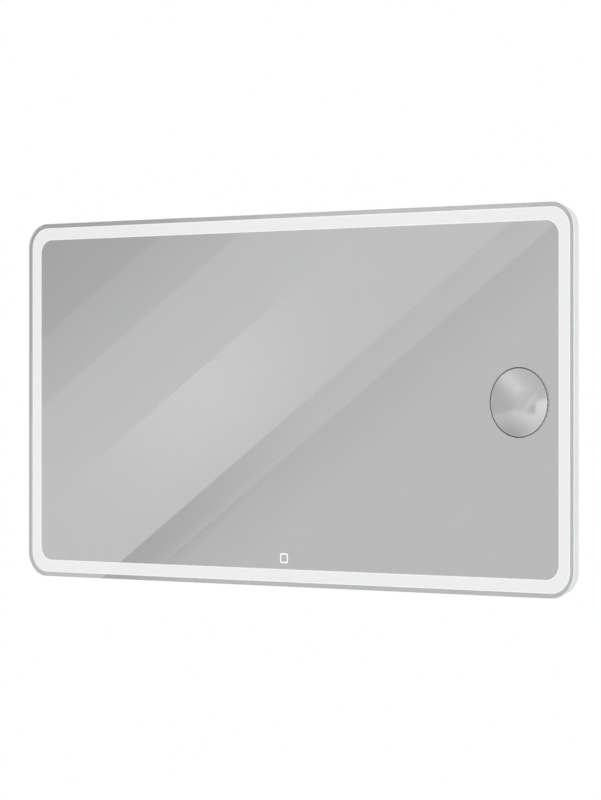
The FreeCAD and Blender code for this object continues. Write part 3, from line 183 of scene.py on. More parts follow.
# one strip is a lamp, hottest at one place along it, and the gap next to it is dimmer towards one end: the
# places, widths and fades are in degrees, and the gains are in light
LAMP_START, LAMP_END, LAMP_FADE, HOT_PLACE, HOT_WIDTH, HOT_GAIN = -1.56, 0.07, (-1.2, 0.9), -1.2, 2.0, 0.062
GAP_FADE, DIM_FADE, DIM_GAIN = (0.38, 0.8), (-4.2, 0.6), -0.09

# half width, half height and soft edge, in degrees, of what the flat mirror and the shaving mirror see
FLAT_VIEW, HOLLOW_VIEW = (4.5, 3.15, 2.2), (22.0, 16.0, 4.0)
# two slanting directions: what a degree to the right and a degree up add, and the start
ALONG_WALL, ABOVE_WALL = (-1.33, -1.42, 5.1), (-0.606, 2.584, -3.4)
# the light at the start of the wall and of the ceiling, what it gains along them, and from where to where
WALL, CEILING = (0.405, 0.045, (-14.0, 16.0)), (0.47, 0.20, (-24.0, 8.0))
WALL_LAMP, WALL_LAMP_WIDTH, WALL_LAMP_GAIN = 6.0, 9.0, 0.15
CEILING_EDGE, CEILING_FADE, CEILING_GAIN = (-0.25, 0.25), (2.0, 26.0), -0.11


def bell(tree, angle, middle, width):
    """exp(-((angle - middle) / width) squared)"""
    off = tree.math("DIVIDE", tree.math("SUBTRACT", angle, middle), width)
    return tree.math("EXPONENT", tree.math("MULTIPLY", tree.math("MULTIPLY", off, off), -1.0))


def slope(tree, angle, start, end):
    """0 before start, 1 past end, and a soft step between."""
    return tree.add("ShaderNodeMapRange", {"Value": angle, "From Min": start, "From Max": end},
                    interpolation_type="SMOOTHSTEP").outputs[0]


def fall(tree, angle, start, end):
    """1 before start, 0 past end: one less the slope."""
    return tree.math("SUBTRACT", 1.0, slope(tree, angle, start, end))


def step(tree, angle, place, rising=True):
    return (slope if rising else fall)(tree, angle, place - SOFTEN / 2, place + SOFTEN / 2)


def window(tree, right, up, half_wide, half_high, edge):
    """1 inside a window of half_wide by half_high degrees, 0 outside, and a soft edge between."""
    wide = fall(tree, tree.math("ABSOLUTE", right), half_wide, half_wide + edge)
    return tree.math("MULTIPLY", wide, fall(tree, tree.math("ABSOLUTE", up), half_high, half_high + edge))


def measure(tree, right, up, by_right, by_up, start):
    """start + by_right right + by_up up: a distance along one slanting direction."""
    return tree.math("MULTIPLY_ADD", right, by_right, tree.math("MULTIPLY_ADD", up, by_up, start))


def plain_wall(tree, along, light, gain, span):
    """A surface's light at its start, and what it gains over a span along it."""
    return tree.math("MULTIPLY_ADD", slope(tree, along, *span), gain, light)


def walls_seen(tree, right, up):
    """A wall with one broad lamp and, above a slanting edge, a brighter ceiling that darkens upwards."""
    along = measure(tree, right, up, *ALONG_WALL)
    above = measure(tree, right, up, *ABOVE_WALL)
    wall_lamp = bell(tree, along, WALL_LAMP, WALL_LAMP_WIDTH)
    wall = tree.math("MULTIPLY_ADD", wall_lamp, WALL_LAMP_GAIN, plain_wall(tree, along, *WALL))
    ceiling = tree.math("MULTIPLY_ADD", slope(tree, above, *CEILING_FADE), CEILING_GAIN,
                        plain_wall(tree, along, *CEILING))
    in_ceiling = slope(tree, above, *CEILING_EDGE)
    return tree.math("MULTIPLY_ADD", in_ceiling, tree.math("SUBTRACT", ceiling, wall), wall)


def strips_light(tree, across, along):
    """The ramp across the strips, plus the lamp's hot place, less the gap's dim end."""
    stops = []
    for (start, first, last), end in zip(STRIPS, [strip[0] for strip in STRIPS[1:]] + [EDGE_REACH]):
        stops += [(start + SOFTEN / 2, first), (end - SOFTEN / 2, last)]
    place = tree.math("MULTIPLY_ADD", across, 0.5 / EDGE_REACH, 0.5)
    light = tree.ramp(place, [(0.5 + 0.5 * angle / EDGE_REACH, level) for angle, level in stops])

    lamp = tree.math("MULTIPLY", step(tree, across, LAMP_START), step(tree, across, LAMP_END, rising=False))
    lamp = tree.math("MULTIPLY", lamp, fall(tree, across, *LAMP_FADE))
    hot = tree.math("MULTIPLY", bell(tree, along, HOT_PLACE, HOT_WIDTH), lamp)
    gap = tree.math("MULTIPLY", step(tree, across, LAMP_END), fall(tree, across, *GAP_FADE))
    dim = tree.math("MULTIPLY", fall(tree, along, *DIM_FADE), gap)
    return tree.math("MULTIPLY_ADD", dim, DIM_GAIN, tree.math("MULTIPLY_ADD", hot, HOT_GAIN, light))


def room_seen(tree, direction):
    """Light from a direction. Its angle along an axis is atan2(its part along it, its part ahead)."""
    ahead = tree.dot(direction, into_room)

    def degrees(axis):
        return tree.math("MULTIPLY", tree.math("ARCTAN2", tree.dot(direction, axis), ahead), 180.0 / math.pi)

    across = tree.math("WRAP", degrees(across_strips), ROOM_REACH, -ROOM_REACH)
    along = tree.math("WRAP", degrees(along_strips), ROOM_REACH, -ROOM_REACH)
    light = strips_light(tree, across, along)
    right, up = degrees(room_right), degrees(room_up)
    flat_part = window(tree, right, up, *FLAT_VIEW)
    around = tree.math("SUBTRACT", window(tree, right, up, *HOLLOW_VIEW), flat_part)
    other = tree.math("SUBTRACT", walls_seen(tree, right, up), light)
    return tree.math("MULTIPLY_ADD", around, other, light)


# %% [markdown]
# ## The room and its light
#
# One world does three jobs, told apart by the kind of ray that arrives. The camera sees plain white, and so
# does a ray that only passed through glass. A ray that was mirrored sees the room above. All others, which
# light the matt surfaces, meet an even grey. Three large round lamps top that up, two from the front and
# one from behind, so that paint renders about as it is written. They are hidden from mirrored rays, because
# a mirror would show their discs.

# %% The room
SOFT_LIGHT = 0.66
world = bpy.data.worlds.new("pale_room")
world.use_nodes = True
bpy.context.scene.world = world
room = Tree(world.node_tree)
ray = room.add("ShaderNodeLightPath").outputs
direction = room.add("ShaderNodeTexCoord").outputs["Generated"]
shown = room.add("ShaderNodeBackground", {"Color": room_seen(room, direction), "Strength": ROOM_GAIN})
white = room.add("ShaderNodeBackground", {"Color": (1, 1, 1, 1), "Strength": 1.0})
soft = room.add("ShaderNodeBackground", {"Color": (1, 1, 1, 1), "Strength": SOFT_LIGHT})
mirrored = room.math("MAXIMUM", ray["Is Glossy Ray"], room.math("GREATER_THAN", ray["Glossy Depth"], 0.5))
plain = room.math("MAXIMUM", ray["Is Camera Ray"], ray["Is Transmission Ray"])
clear = room.add("ShaderNodeMixShader", {0: plain, 1: soft.outputs[0], 2: white.outputs[0]})
seen = room.add("ShaderNodeMixShader", {0: mirrored, 1: clear.outputs[0], 2: shown.outputs[0]})
room.add("ShaderNodeOutputWorld", {"Surface": seen.outputs[0]})


def soft_lamp(name, place, size, watts):
    """An area lamp aimed at the mirror's middle, unseen in reflections."""
    lamp = bpy.data.lights.new(name, "AREA")
    lamp.shape = "DISK"
    lamp.size = size
    lamp.energy = watts
    thing = bpy.data.objects.new(name, lamp)
    thing.location = place
    thing.rotation_euler = (-Vector(place)).to_track_quat("-Z", "Y").to_euler()
    thing.visible_glossy = False
    thing.visible_transmission = False
    thing.visible_camera = False
    bpy.context.collection.objects.link(thing)


soft_lamp("lamp_high_left", (-2.6, -3.4, 3.0), 2.4, 70.0)
soft_lamp("lamp_right", (4.4, -2.2, 1.6), 2.6, 74.0)
soft_lamp("lamp_behind", (-1.0, 4.2, 2.6), 2.4, 60.0)
print("white for the camera, the room for mirrored rays, soft grey for paint")

# %% [markdown]
# ## The floor
#
# The mirror hangs clear of everything, so the floor is only a pale disc well below it, which keeps a soft
# shadow. Towards its rim it fades into the white of the room, so that no edge shows from above.

# %% The floor
FLOOR_LEVEL, FLOOR_RADIUS, FLOOR_STEPS, FADE_FROM, FADE_TO = -1.2, 3.2, 96, 0.9, 3.1
FLOOR_TONES, CLOUDS_PER_METRE = [(0.3, 0.875), (0.7, 0.89)], 3.0
turns = np.linspace(0, 2 * math.pi, FLOOR_STEPS, endpoint=False)
rim = np.column_stack([FLOOR_RADIUS * np.cos(turns), FLOOR_RADIUS * np.sin(turns),
                       np.full(FLOOR_STEPS, FLOOR_LEVEL)])
floor_mesh = bpy.data.meshes.new("floor")
floor_mesh.from_pydata(rim.tolist(), [], [list(range(FLOOR_STEPS))])
floor = bpy.data.objects.new("floor", floor_mesh)
bpy.context.collection.objects.link(floor)

pale = bpy.data.materials.new("pale_floor")
pale.use_nodes = True
tree = Tree(pale.node_tree)
place = tree.add("ShaderNodeTexCoord").outputs["Object"]
flat = tree.add("ShaderNodeVectorMath", {0: place, 1: (1.0, 1.0, 0.0)}, operation="MULTIPLY").outputs[0]
away = tree.add("ShaderNodeVectorMath", {0: flat}, operation="LENGTH").outputs["Value"]
fade = tree.add("ShaderNodeMapRange", {"Value": away, "From Min": FADE_FROM, "From Max": FADE_TO},
                interpolation_type="SMOOTHSTEP").outputs[0]
cloudy = tree.add("ShaderNodeTexNoise", {"Vector": place, "Scale": CLOUDS_PER_METRE}).outputs["Fac"]
matt = tree.add("ShaderNodeBsdfDiffuse", {"Color": tree.ramp(cloudy, FLOOR_TONES)})
glow = tree.add("ShaderNodeEmission", {"Color": (1, 1, 1, 1), "Strength": 1.0})
rays = tree.add("ShaderNodeLightPath").outputs
open_ray = tree.math("MAXIMUM", rays["Is Camera Ray"], rays["Is Transmission Ray"])
share = tree.math("MULTIPLY", fade, tree.math("MAXIMUM", open_ray, rays["Is Glossy Ray"]))
mix = tree.add("ShaderNodeMixShader", {0: share, 1: matt.outputs[0], 2: glow.outputs[0]})
tree.add("ShaderNodeOutputMaterial", {"Surface": mix.outputs[0]})
floor_mesh.materials.append(pale)
print(f"floor {2 * FLOOR_RADIUS:.1f} m across, {FLOOR_LEVEL} m below the mirror's middle")

# %% [markdown]
# ## Effects that the finishes share
#
# Nothing made is quite even. Paint is a shade thicker here than there, rolled metal carries the lines of
# its rolls, and a moulded part has the fine spark texture of its mould. Four groups give these: an uneven
# tone, an uneven gloss, a pebbled skin and rolled lines. Each takes the place on the part, so one setting
# per metre fits every part.

# %% Shared groups
PLACE = ("Place", "Vector", (0.0, 0.0, 0.0))

uneven_tone, tree, given = new_group(
    "uneven_tone", [PLACE, ("Colour", "Color", (1, 1, 1, 1)), ("Per Metre", "Float", 20.0),
                    ("Amount", "Float", 0.05)], [("Colour", "Color")])
cloud = tree.add("ShaderNodeTexNoise", {"Vector": given["Place"], "Scale": given["Per Metre"],
                                        "Detail": 3.0})
swing = tree.math("MULTIPLY", tree.math("SUBTRACT", cloud.outputs["Fac"], 0.5), given["Amount"])
gain = tree.math("ADD", 1.0, tree.math("MULTIPLY", swing, 2.0))
tinted = tree.add("ShaderNodeVectorMath", {0: given["Colour"], "Scale": gain}, operation="SCALE")
tree.add("NodeGroupOutput", {"Colour": tinted.outputs[0]})

uneven_gloss, tree, given = new_group(
    "uneven_gloss", [PLACE, ("Roughness", "Float", 0.4), ("Per Metre", "Float", 60.0),
                     ("Amount", "Float", 0.1)], [("Roughness", "Float")])
cloud = tree.add("ShaderNodeTexNoise", {"Vector": given["Place"], "Scale": given["Per Metre"],
                                        "Detail": 2.0})
swing = tree.math("MULTIPLY", tree.math("SUBTRACT", cloud.outputs["Fac"], 0.5), given["Amount"])
tree.add("NodeGroupOutput", {"Roughness": tree.math("MULTIPLY_ADD", swing, 2.0, given["Roughness"])})

pebbled_skin, tree, given = new_group(
    "pebbled_skin", [PLACE, ("Per Metre", "Float", 1200.0), ("Waviness", "Float", 0.4)],
    [("Height", "Float")])
peel = tree.add("ShaderNodeTexNoise", {"Vector": given["Place"], "Scale": given["Per Metre"], "Detail": 1.0})
slow = tree.add("ShaderNodeTexNoise", {"Vector": given["Place"], "Detail": 0.0,
                                       "Scale": tree.math("MULTIPLY", given["Per Metre"], 0.12)})
tree.add("NodeGroupOutput", {"Height": tree.math(
    "MULTIPLY_ADD", slow.outputs["Fac"], given["Waviness"], peel.outputs["Fac"])})

rolled_lines, tree, given = new_group(
    "rolled_lines", [PLACE, ("Stretch", "Vector", (1.0, 40.0, 40.0)), ("Per Metre", "Float", 60.0)],
    [("Height", "Float")])
drawn = tree.add("ShaderNodeVectorMath", {0: given["Place"], 1: given["Stretch"]}, operation="MULTIPLY")
lines = tree.add("ShaderNodeTexNoise", {"Vector": drawn.outputs[0], "Scale": given["Per Metre"],
                                        "Detail": 4.0})
tree.add("NodeGroupOutput", {"Height": lines.outputs["Fac"]})
print("groups:", ", ".join(group.name for group in bpy.data.node_groups))

# %% [markdown]
# ## One recipe for an opaque finish
#
# Most parts differ in colour, gloss and skin, and nothing else, so one recipe makes them all: a shader
# whose colour and roughness come from the uneven groups, and whose bump is either a pebbled skin or rolled
# lines. Numbers that are the same all over the part are set on the shader itself.

# %% The recipe
MOST_SWING = 0.12  # the most that a roughness varies


def use_group(tree, group, **values):
    """A group's first output, its inputs set or joined by their names."""
    node = tree.add("ShaderNodeGroup", node_tree=group)
    for name, value in values.items():
        socket = node.inputs[name.replace("_", " ").title()]
        if isinstance(value, bpy.types.NodeSocket):
            tree.tree.links.new(value, socket)
        else:
            socket.default_value = value
    return node.outputs[0]


def finish(name, colour, gloss, tone=0.04, skin=None, depth=0.02, lines=None, metal=0.0, glow=0.0,
           **sockets):
    """A Principled finish: skin is pebbles per metre, lines a stretch, depth the bump's height in mm."""
    material = bpy.data.materials.new(name)
    material.use_nodes = True
    tree = Tree(material.node_tree)
    place = tree.add("ShaderNodeTexCoord").outputs["Object"]
    shade = use_group(tree, uneven_tone, place=place, colour=(*colour, 1.0), per_metre=25.0, amount=tone)
    swing = min(MOST_SWING, gloss / 3)
    rough = use_group(tree, uneven_gloss, place=place, roughness=gloss, amount=swing)
    inputs = {"Base Color": shade, "Roughness": rough, "Metallic": metal}
    if skin or lines:
        if skin:
            height = use_group(tree, pebbled_skin, place=place, per_metre=float(skin))
        else:
            height = use_group(tree, rolled_lines, place=place, stretch=lines)
        bump = tree.add("ShaderNodeBump", {"Height": height, "Distance": depth * MM, "Strength": 1.0})
        inputs["Normal"] = bump.outputs[0]
    if glow:
        inputs["Emission Color"] = (*colour, 1.0)
        inputs["Emission Strength"] = glow
    inputs.update(sockets)
    shader = tree.add("ShaderNodeBsdfPrincipled", inputs)
    tree.add("ShaderNodeOutputMaterial", {"Surface": shader.outputs[0]})
    return material


# %% [markdown]
# ## The finishes
#
# The side and the back are aluminium and steel with a fine satin powder coat, which has a soft orange peel.
# Channels inside are bare zinc-coated steel, so they show rolled lines. The plastics are moulded, with a
# grain that is finer on the small parts. Foam and rubber are the matt ones.

# %% Painted and bare metal
ALONG_X = (1.0, 40.0, 40.0)  # rolled lines vary slowly along X
finishes = {}


def add_finish(name, colour, gloss, **recipe):
    finishes[name] = finish(name, colour, gloss, **recipe)


add_finish("white_paint", (0.80, 0.81, 0.81), 0.42, tone=0.012, skin=1400, depth=0.012)
add_finish("panel_paint", (0.72, 0.73, 0.73), 0.48, tone=0.02, skin=1100, depth=0.02)
add_finish("zinc_steel", (0.62, 0.64, 0.66), 0.34, tone=0.08, lines=ALONG_X, metal=1.0)
add_finish("screw_steel", (0.66, 0.66, 0.67), 0.28, tone=0.06, skin=2500, depth=0.004, metal=1.0)
add_finish("rivet_aluminium", (0.74, 0.75, 0.76), 0.36, tone=0.05, skin=2200, depth=0.006, metal=1.0)
add_finish("tinned_brass", (0.74, 0.66, 0.42), 0.30, tone=0.08, skin=1800, depth=0.005, metal=1.0)
print("metals:", ", ".join(finishes))

# %% Plastics, foam and rubber
add_finish("opal_plastic", (0.94, 0.94, 0.93), 0.38, tone=0.01, skin=900, depth=0.004, glow=0.4)
add_finish("holder_plastic", (0.10, 0.10, 0.105), 0.50, skin=1500, depth=0.03)
add_finish("clamp_nylon", (0.88, 0.87, 0.82), 0.42, tone=0.03, skin=700, depth=0.012)
add_finish("block_plastic", (0.86, 0.86, 0.84), 0.36, tone=0.03, skin=900, depth=0.010)
add_finish("connector_plastic", (0.88, 0.88, 0.86), 0.35, tone=0.03, skin=1500, depth=0.008)
add_finish("driver_plastic", (0.84, 0.84, 0.82), 0.45, tone=0.02, skin=1300, depth=0.025)
add_finish("sensor_plastic", (0.09, 0.09, 0.095), 0.48, skin=1600, depth=0.02)
add_finish("black_foam", (0.05, 0.05, 0.05), 0.92, tone=0.25, skin=2600, depth=0.12)
add_finish("white_foam", (0.80, 0.80, 0.79), 0.90, tone=0.05, skin=2600, depth=0.10)
add_finish("black_ring", (0.05, 0.05, 0.05), 0.42, tone=0.10, skin=1800, depth=0.01)
add_finish("grommet_rubber", (0.06, 0.06, 0.06), 0.68, tone=0.15, skin=1400, depth=0.03)
add_finish("white_sheath", (0.86, 0.86, 0.84), 0.46, tone=0.02, skin=600, depth=0.02)
add_finish("earth_sheath", (0.45, 0.62, 0.10), 0.44, tone=0.10, skin=600, depth=0.02)
print(f"{len(finishes)} finishes with the plastics, foam and rubber")

# %% Boards and LEDs
add_finish("strip_board", (0.90, 0.90, 0.88), 0.45, tone=0.02, skin=500, depth=0.01)
add_finish("green_board", (0.05, 0.22, 0.10), 0.32, tone=0.20, skin=400, depth=0.01)
add_finish("component_black", (0.05, 0.05, 0.055), 0.40, tone=0.15, skin=1500, depth=0.02)
add_finish("led_phosphor", (0.98, 0.93, 0.70), 0.50, tone=0.05, skin=1200, depth=0.01, glow=1.0)
print(f"{len(finishes)} opaque finishes with the boards and LEDs")

# %% [markdown]
# ## Silver, frost and glass
#
# The silvering is a metal behind glass. The flat mirror's is quite smooth, and the shaving mirror's a little
# less, which softens what it shows. The frosted band is the bare back of the glass, etched, with light
# coming through: a matt white that glows evenly, and a little more along its two cut edges, where the
# silver stops. Its own colour is dark, so that the light of the room adds little to it. The touch mark is
# the same etching with a brighter light behind.
#
# The band follows the outline, so the brighter edges need the distance to a rounded rectangle. A group
# works it out from the place: how far past the corner centres, less the corner's radius.

# %% Silver and lit frost
BORDER, BAND, CORNER, BAND_INNER_ROUND = 8.4, 24.0, 48.0, 27.0  # millimetres, as the construction has them
BAND_GLOW, EDGE_GLOW, MARK_GLOW = 0.82, 0.13, 1.02
EDGE_FADE = 1.7  # how quickly the band's brighter edges fade, in millimetres

outline_distance, tree, given = new_group(
    "outline_distance", [PLACE, ("Half Size", "Vector", (1, 0, 1)), ("Radius", "Float", 0.05)],
    [("Distance", "Float")])
folded = tree.add("ShaderNodeVectorMath", {0: given["Place"]}, operation="ABSOLUTE")
past = tree.add("ShaderNodeVectorMath", {0: folded.outputs[0], 1: given["Half Size"]}, operation="SUBTRACT")
axes = tree.add("ShaderNodeSeparateXYZ", {0: past.outputs[0]})
past_x = tree.math("ADD", axes.outputs["X"], given["Radius"])
past_z = tree.math("ADD", axes.outputs["Z"], given["Radius"])
far_x, far_z = (tree.math("MAXIMUM", value, 0.0) for value in (past_x, past_z))
squares = tree.math("ADD", tree.math("MULTIPLY", far_x, far_x), tree.math("MULTIPLY", far_z, far_z))
outside = tree.math("SQRT", squares)
inside = tree.math("MINIMUM", tree.math("MAXIMUM", past_x, past_z), 0.0)
tree.add("NodeGroupOutput", {"Distance": tree.math(
    "SUBTRACT", tree.math("ADD", outside, inside), given["Radius"])})


def lit_frost(name, level, edge_level):
    """Etched glass lit from behind: level, and up to edge_level more where the band's edges are near."""
    material = finish(name, (0.10, 0.10, 0.10), 0.6, tone=0.02, skin=3000, depth=0.004)
    tree = Tree(material.node_tree, clear=False)
    shader = next(node for node in material.node_tree.nodes if node.type == "BSDF_PRINCIPLED")
    shader.inputs["Emission Strength"].default_value = 1.0
    place = tree.add("ShaderNodeTexCoord").outputs["Object"]
    high = (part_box("mirror_glass")[1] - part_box("mirror_glass")[0]) / 2
    glow = level
    for inset, radius in ((BORDER, CORNER - BORDER), (BORDER + BAND, BAND_INNER_ROUND)):
        half = (high.x - inset * MM, 0.0, high.z - inset * MM)
        away = use_group(tree, outline_distance, place=place, half_size=half, radius=radius * MM)
        glow = tree.math("MULTIPLY_ADD", bell(tree, away, 0.0, EDGE_FADE * MM), edge_level, glow)
    tree.tree.links.new(glow, shader.inputs["Emission Color"])
    return material


add_finish("silvering", (0.81, 0.81, 0.81), 0.0, tone=0.004, metal=1.0)
add_finish("shaving_silvering", (0.83, 0.83, 0.83), 0.09, tone=0.004, metal=1.0)
finishes["etched_glass"] = lit_frost("etched_band", BAND_GLOW, EDGE_GLOW)
finishes["etched_mark"] = lit_frost("etched_mark", MARK_GLOW, 0.0)
print(f"silver, and frost that glows {BAND_GLOW} and {BAND_GLOW + EDGE_GLOW} at its edges")

# %% [markdown]
# ## The pane's three finishes
#
# The pane itself is clear, and so is its small bevel at the front. Its side and its back bevel have a
# finish of their own, the polished rim: seen from outside, it has a painted glow in place of light that
# travels in the glass and leaves it there, which makes the fine white line of the photo. Seen from inside,
# through the pane, the same rim would mirror the room like the silver next to it; here it is dark with an
# even grey glow instead, a painted reflection. So the shader asks which side it is seen from, and takes the
# painted white glow outside and the painted grey reflection inside. The wall of the hole has the same
# shader, ground and darker, and without the glow outside.

# %% Clear glass and its rim
add_finish("clear_glass", (0.998, 1.0, 1.0), 0.0, tone=0.001, IOR=1.5, **{"Transmission Weight": 1.0})
MIX_FROM, MIX_TO, MIX_OUT = 6, 7, 2  # a colour mix's sockets by number, as other mixes share their names


def glass_rim(name, outside, outside_glow, painted_reflection_grey):
    """A rim that is pale with a painted glow outside, and, where glass is in front of it, dark with an even
    grey glow: a painted reflection.
    """
    material = bpy.data.materials.new(name)
    material.use_nodes = True
    tree = Tree(material.node_tree)
    place = tree.add("ShaderNodeTexCoord").outputs["Object"]
    within = tree.add("ShaderNodeNewGeometry").outputs["Backfacing"]
    pale = use_group(tree, uneven_tone, place=place, colour=(*outside, 1.0), per_metre=40.0, amount=0.01)
    # seen through the glass: a dark colour and an even grey glow, painted in place of the room's reflection
    dark, grey = (0.03, 0.03, 0.03, 1.0), (painted_reflection_grey, painted_reflection_grey, painted_reflection_grey, 1.0)
    # seen from outside: the rim's colour times outside_glow, a painted glow for light leaving the glass
    outer = tuple(value * outside_glow for value in outside) + (1.0,)
    base = tree.add("ShaderNodeMix", {0: within, MIX_FROM: pale, MIX_TO: dark}, data_type="RGBA")
    glow = tree.add("ShaderNodeMix", {0: within, MIX_FROM: outer, MIX_TO: grey}, data_type="RGBA")
    gloss = use_group(tree, uneven_gloss, place=place, roughness=0.25, amount=0.05)
    shader = tree.add("ShaderNodeBsdfPrincipled", {
        "Base Color": base.outputs[MIX_OUT], "Roughness": gloss, "Emission Color": glow.outputs[MIX_OUT],
        "Emission Strength": 1.0})
    tree.add("ShaderNodeOutputMaterial", {"Surface": shader.outputs[0]})
    return material


# the grey glow of the painted reflection on the rim and on the hole's wall, seen through the glass; the rim
# also has a painted white glow outside
PAINTED_REFLECTION_GREY = 0.46
finishes["polished_rim_painted_light"] = glass_rim("polished_rim_painted_light", (0.88, 0.92, 0.91), 0.10, PAINTED_REFLECTION_GREY)
finishes["ground_hole_painted_reflection"] = glass_rim("ground_hole_painted_reflection", (0.60, 0.62, 0.62), 0.0, PAINTED_REFLECTION_GREY)
print("clear glass, a white rim and a grey hole")

# %% [markdown]
# ## Every part gets its finish
#
# The record names a finish for each part of the construction. The parts keep their meshes, so only the
# material in their slots changes. One part differs from its slot: the touch mark glows more than the band.

# %% Dress the construction
def dress(name, finish_name):
    for holder in frame["nodes"][name].material_slots:
        holder.material = finishes[finish_name]


slots = {part["node"]: part["material_slot"] for part in frame["record"]["subparts"]}
for name, slot in slots.items():
    dress(name, slot)
dress("touch_icon", "etched_mark")
print(f"dressed {len(slots)} parts in {len(set(slots.values()))} finishes")

# %% [markdown]
# ## Shapes with an eye in them
#
# Most parts that show are rings: a pane with a round hole, a pressed plate with a keyhole, a screw with a
# cross in its head, a lens in its gasket. From a point inside such an eye every edge can be seen, so one
# idea makes them all. Rays leave that point at a set of angles, and each edge of the section is a list of
# how far along its ray every point lies, and how far from the wall. Neighbouring edges are joined by a
# strip of faces.

# %% Rays, edges and strips
def box_mm(name):
    """A node's middle x and z, half width, half height, and its rises from the wall, in millimetres."""
    low, high = (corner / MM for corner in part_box(name))
    mid_x, mid_z = (low.x + high.x) / 2, (low.z + high.z) / 2
    return mid_x, mid_z, (high.x - low.x) / 2, (high.z - low.z) / 2, -high.y, -low.y


def rounded(half_x, half_z, radius, middle=(0.0, 0.0)):
    """Distance to a rounded rectangle: how far a point is past the corner centres' box, less the radius."""
    def distance(x, z):
        past_x = np.abs(x - middle[0]) - (half_x - radius)
        past_z = np.abs(z - middle[1]) - (half_z - radius)
        outside = np.hypot(np.maximum(past_x, 0), np.maximum(past_z, 0))
        return outside + np.minimum(np.maximum(past_x, past_z), 0) - radius
    return distance


def reach(distance, angles, inset=0.0, limit=2000.0, halvings=50):
    """How far rays go before distance + inset turns positive: the span is halved again and again."""
    near, far = np.zeros_like(angles), np.full_like(angles, limit)
    for _ in range(halvings):
        middle = (near + far) / 2
        inside = distance(middle * np.cos(angles), middle * np.sin(angles)) + inset < 0
        near, far = np.where(inside, middle, near), np.where(inside, far, middle)
    return near


def face_strips(rows, columns, close):
    """Four corners of each face between row i and i + 1; the columns always close, the rows if asked."""
    i, j = np.meshgrid(np.arange(rows if close else rows - 1), np.arange(columns), indexing="ij")
    here, there = i * columns, (i + 1) % rows * columns
    after = (j + 1) % columns
    return np.stack([here + j, here + after, there + after, there + j], -1).reshape(-1, 4)


def eye_shell(angles, edges, close=True):
    """Points and faces; an edge is (reach, rise): x = reach cos(angle), y = -rise, z = reach sin(angle)."""
    far = np.array([np.broadcast_to(edge[0], angles.shape) for edge in edges], float)
    rise = np.array([np.broadcast_to(edge[1], angles.shape) for edge in edges], float)
    points = np.stack([far * np.cos(angles), -rise, far * np.sin(angles)], -1)
    return points.reshape(-1, 3), face_strips(len(edges), len(angles), close)


def turns_of(count):
    return np.linspace(0, 2 * math.pi, count, endpoint=False)


def turns_to_corners(half_x, half_z, radius, middle, count):
    """The angles, from the eye, of count points on each of a rounded rectangle's four corner arcs."""
    angles = []
    for corner, (side_x, side_z) in enumerate([(1, 1), (-1, 1), (-1, -1), (1, -1)]):
        turn = np.radians(np.linspace(0, 90, count)) + corner * math.pi / 2
        x = side_x * (half_x - radius) + radius * np.cos(turn) + middle[0]
        z = side_z * (half_z - radius) + radius * np.sin(turn) + middle[1]
        angles.append(np.arctan2(z, x) % (2 * math.pi))
    return np.concatenate(angles)


def bend(inset, rise, radius, start, end, steps=5):
    """An arc in the section: start and end in degrees, 0 towards a larger inset, 90 towards the front."""
    turn = np.radians(np.linspace(start, end, steps + 1))
    return list(zip(inset + radius * np.cos(turn), rise + radius * np.sin(turn)))


def make_piece(name, points, faces, node, finish_names, smooth=35.0, which=None):
    """A mesh from points in mm, in place of a node. The first finish is its slot; which is each face's."""
    mesh = bpy.data.meshes.new(name)
    mesh.from_pydata((points * MM).tolist(), [], faces.tolist() if isinstance(faces, np.ndarray) else faces)
    for finish_name in finish_names:
        mesh.materials.append(finishes[finish_name])
    if which is not None:
        mesh.polygons.foreach_set("material_index", which.astype(np.int32))
    solid = bmesh.new()
    solid.from_mesh(mesh)
    bmesh.ops.remove_doubles(solid, verts=solid.verts, dist=1e-7)
    bmesh.ops.recalc_face_normals(solid, faces=solid.faces)
    solid.to_mesh(mesh)
    solid.free()
    mesh.shade_smooth()
    mesh.set_sharp_from_angle(angle=math.radians(smooth))
    piece = bpy.data.objects.new(name, mesh)
    bpy.context.collection.objects.link(piece)
    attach(piece, "root")
    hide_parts(node)
    print(f"{name}: {len(mesh.polygons)} faces, {[round(v / MM, 1) for v in piece.dimensions]} mm")


# %% [markdown]
# ## The pane
#
# The mirror is one sheet of 4 mm float glass. It is cut to a rounded rectangle, its edge is ground and
# polished with a small bevel at the front, and the hole for the shaving mirror is cut with a core drill.
# The pane could be a curve with thickness, but then the rim would have the pane's finish, and the rim
# carries a painted glow, the bright white line that the photo shows. Rays from the hole's middle give both
# edges in one mesh.

# %% The pane
ARRIS, HOLE_ARRIS, BEHIND = 0.6, 0.3, 0.02  # the bevels, and the gap to the silver
TURNS, ARC_TURNS, CLOSEST = 200, 25, 5e-4  # rays all round, rays to each corner, the least angle between
_, _, half_x, half_z, back, front = box_mm("mirror_glass")
lens_x, lens_z, hole, _, _, _ = box_mm("magnifier_gasket")
middle = (-lens_x, -lens_z)
outline = rounded(half_x, half_z, CORNER, middle)
angles = np.append(turns_of(TURNS), turns_to_corners(half_x, half_z, CORNER, middle, ARC_TURNS))
angles = np.sort(angles)
angles = angles[np.append(np.diff(angles) > CLOSEST, True)]
side, bevel = reach(outline, angles), reach(outline, angles, ARRIS)
edges = [(hole + HOLE_ARRIS, front), (bevel, front), (side, front - ARRIS), (side, back + ARRIS),
         (bevel, back + BEHIND), (hole, back + BEHIND), (hole, front - HOLE_ARRIS)]
points, faces = eye_shell(angles, edges)
row = np.repeat(np.arange(len(edges)), len(angles))
strip_finish = np.array([0, 0, 1, 1, 0, 2, 2])  # from the hole outwards and back, numbers in pane_finishes
pane_finishes = ["clear_glass", "polished_rim_painted_light", "ground_hole_painted_reflection"]
make_piece("mirror_pane", points + (lens_x, 0, lens_z), faces, "mirror_glass", pane_finishes,
           smooth=20, which=strip_finish[row])

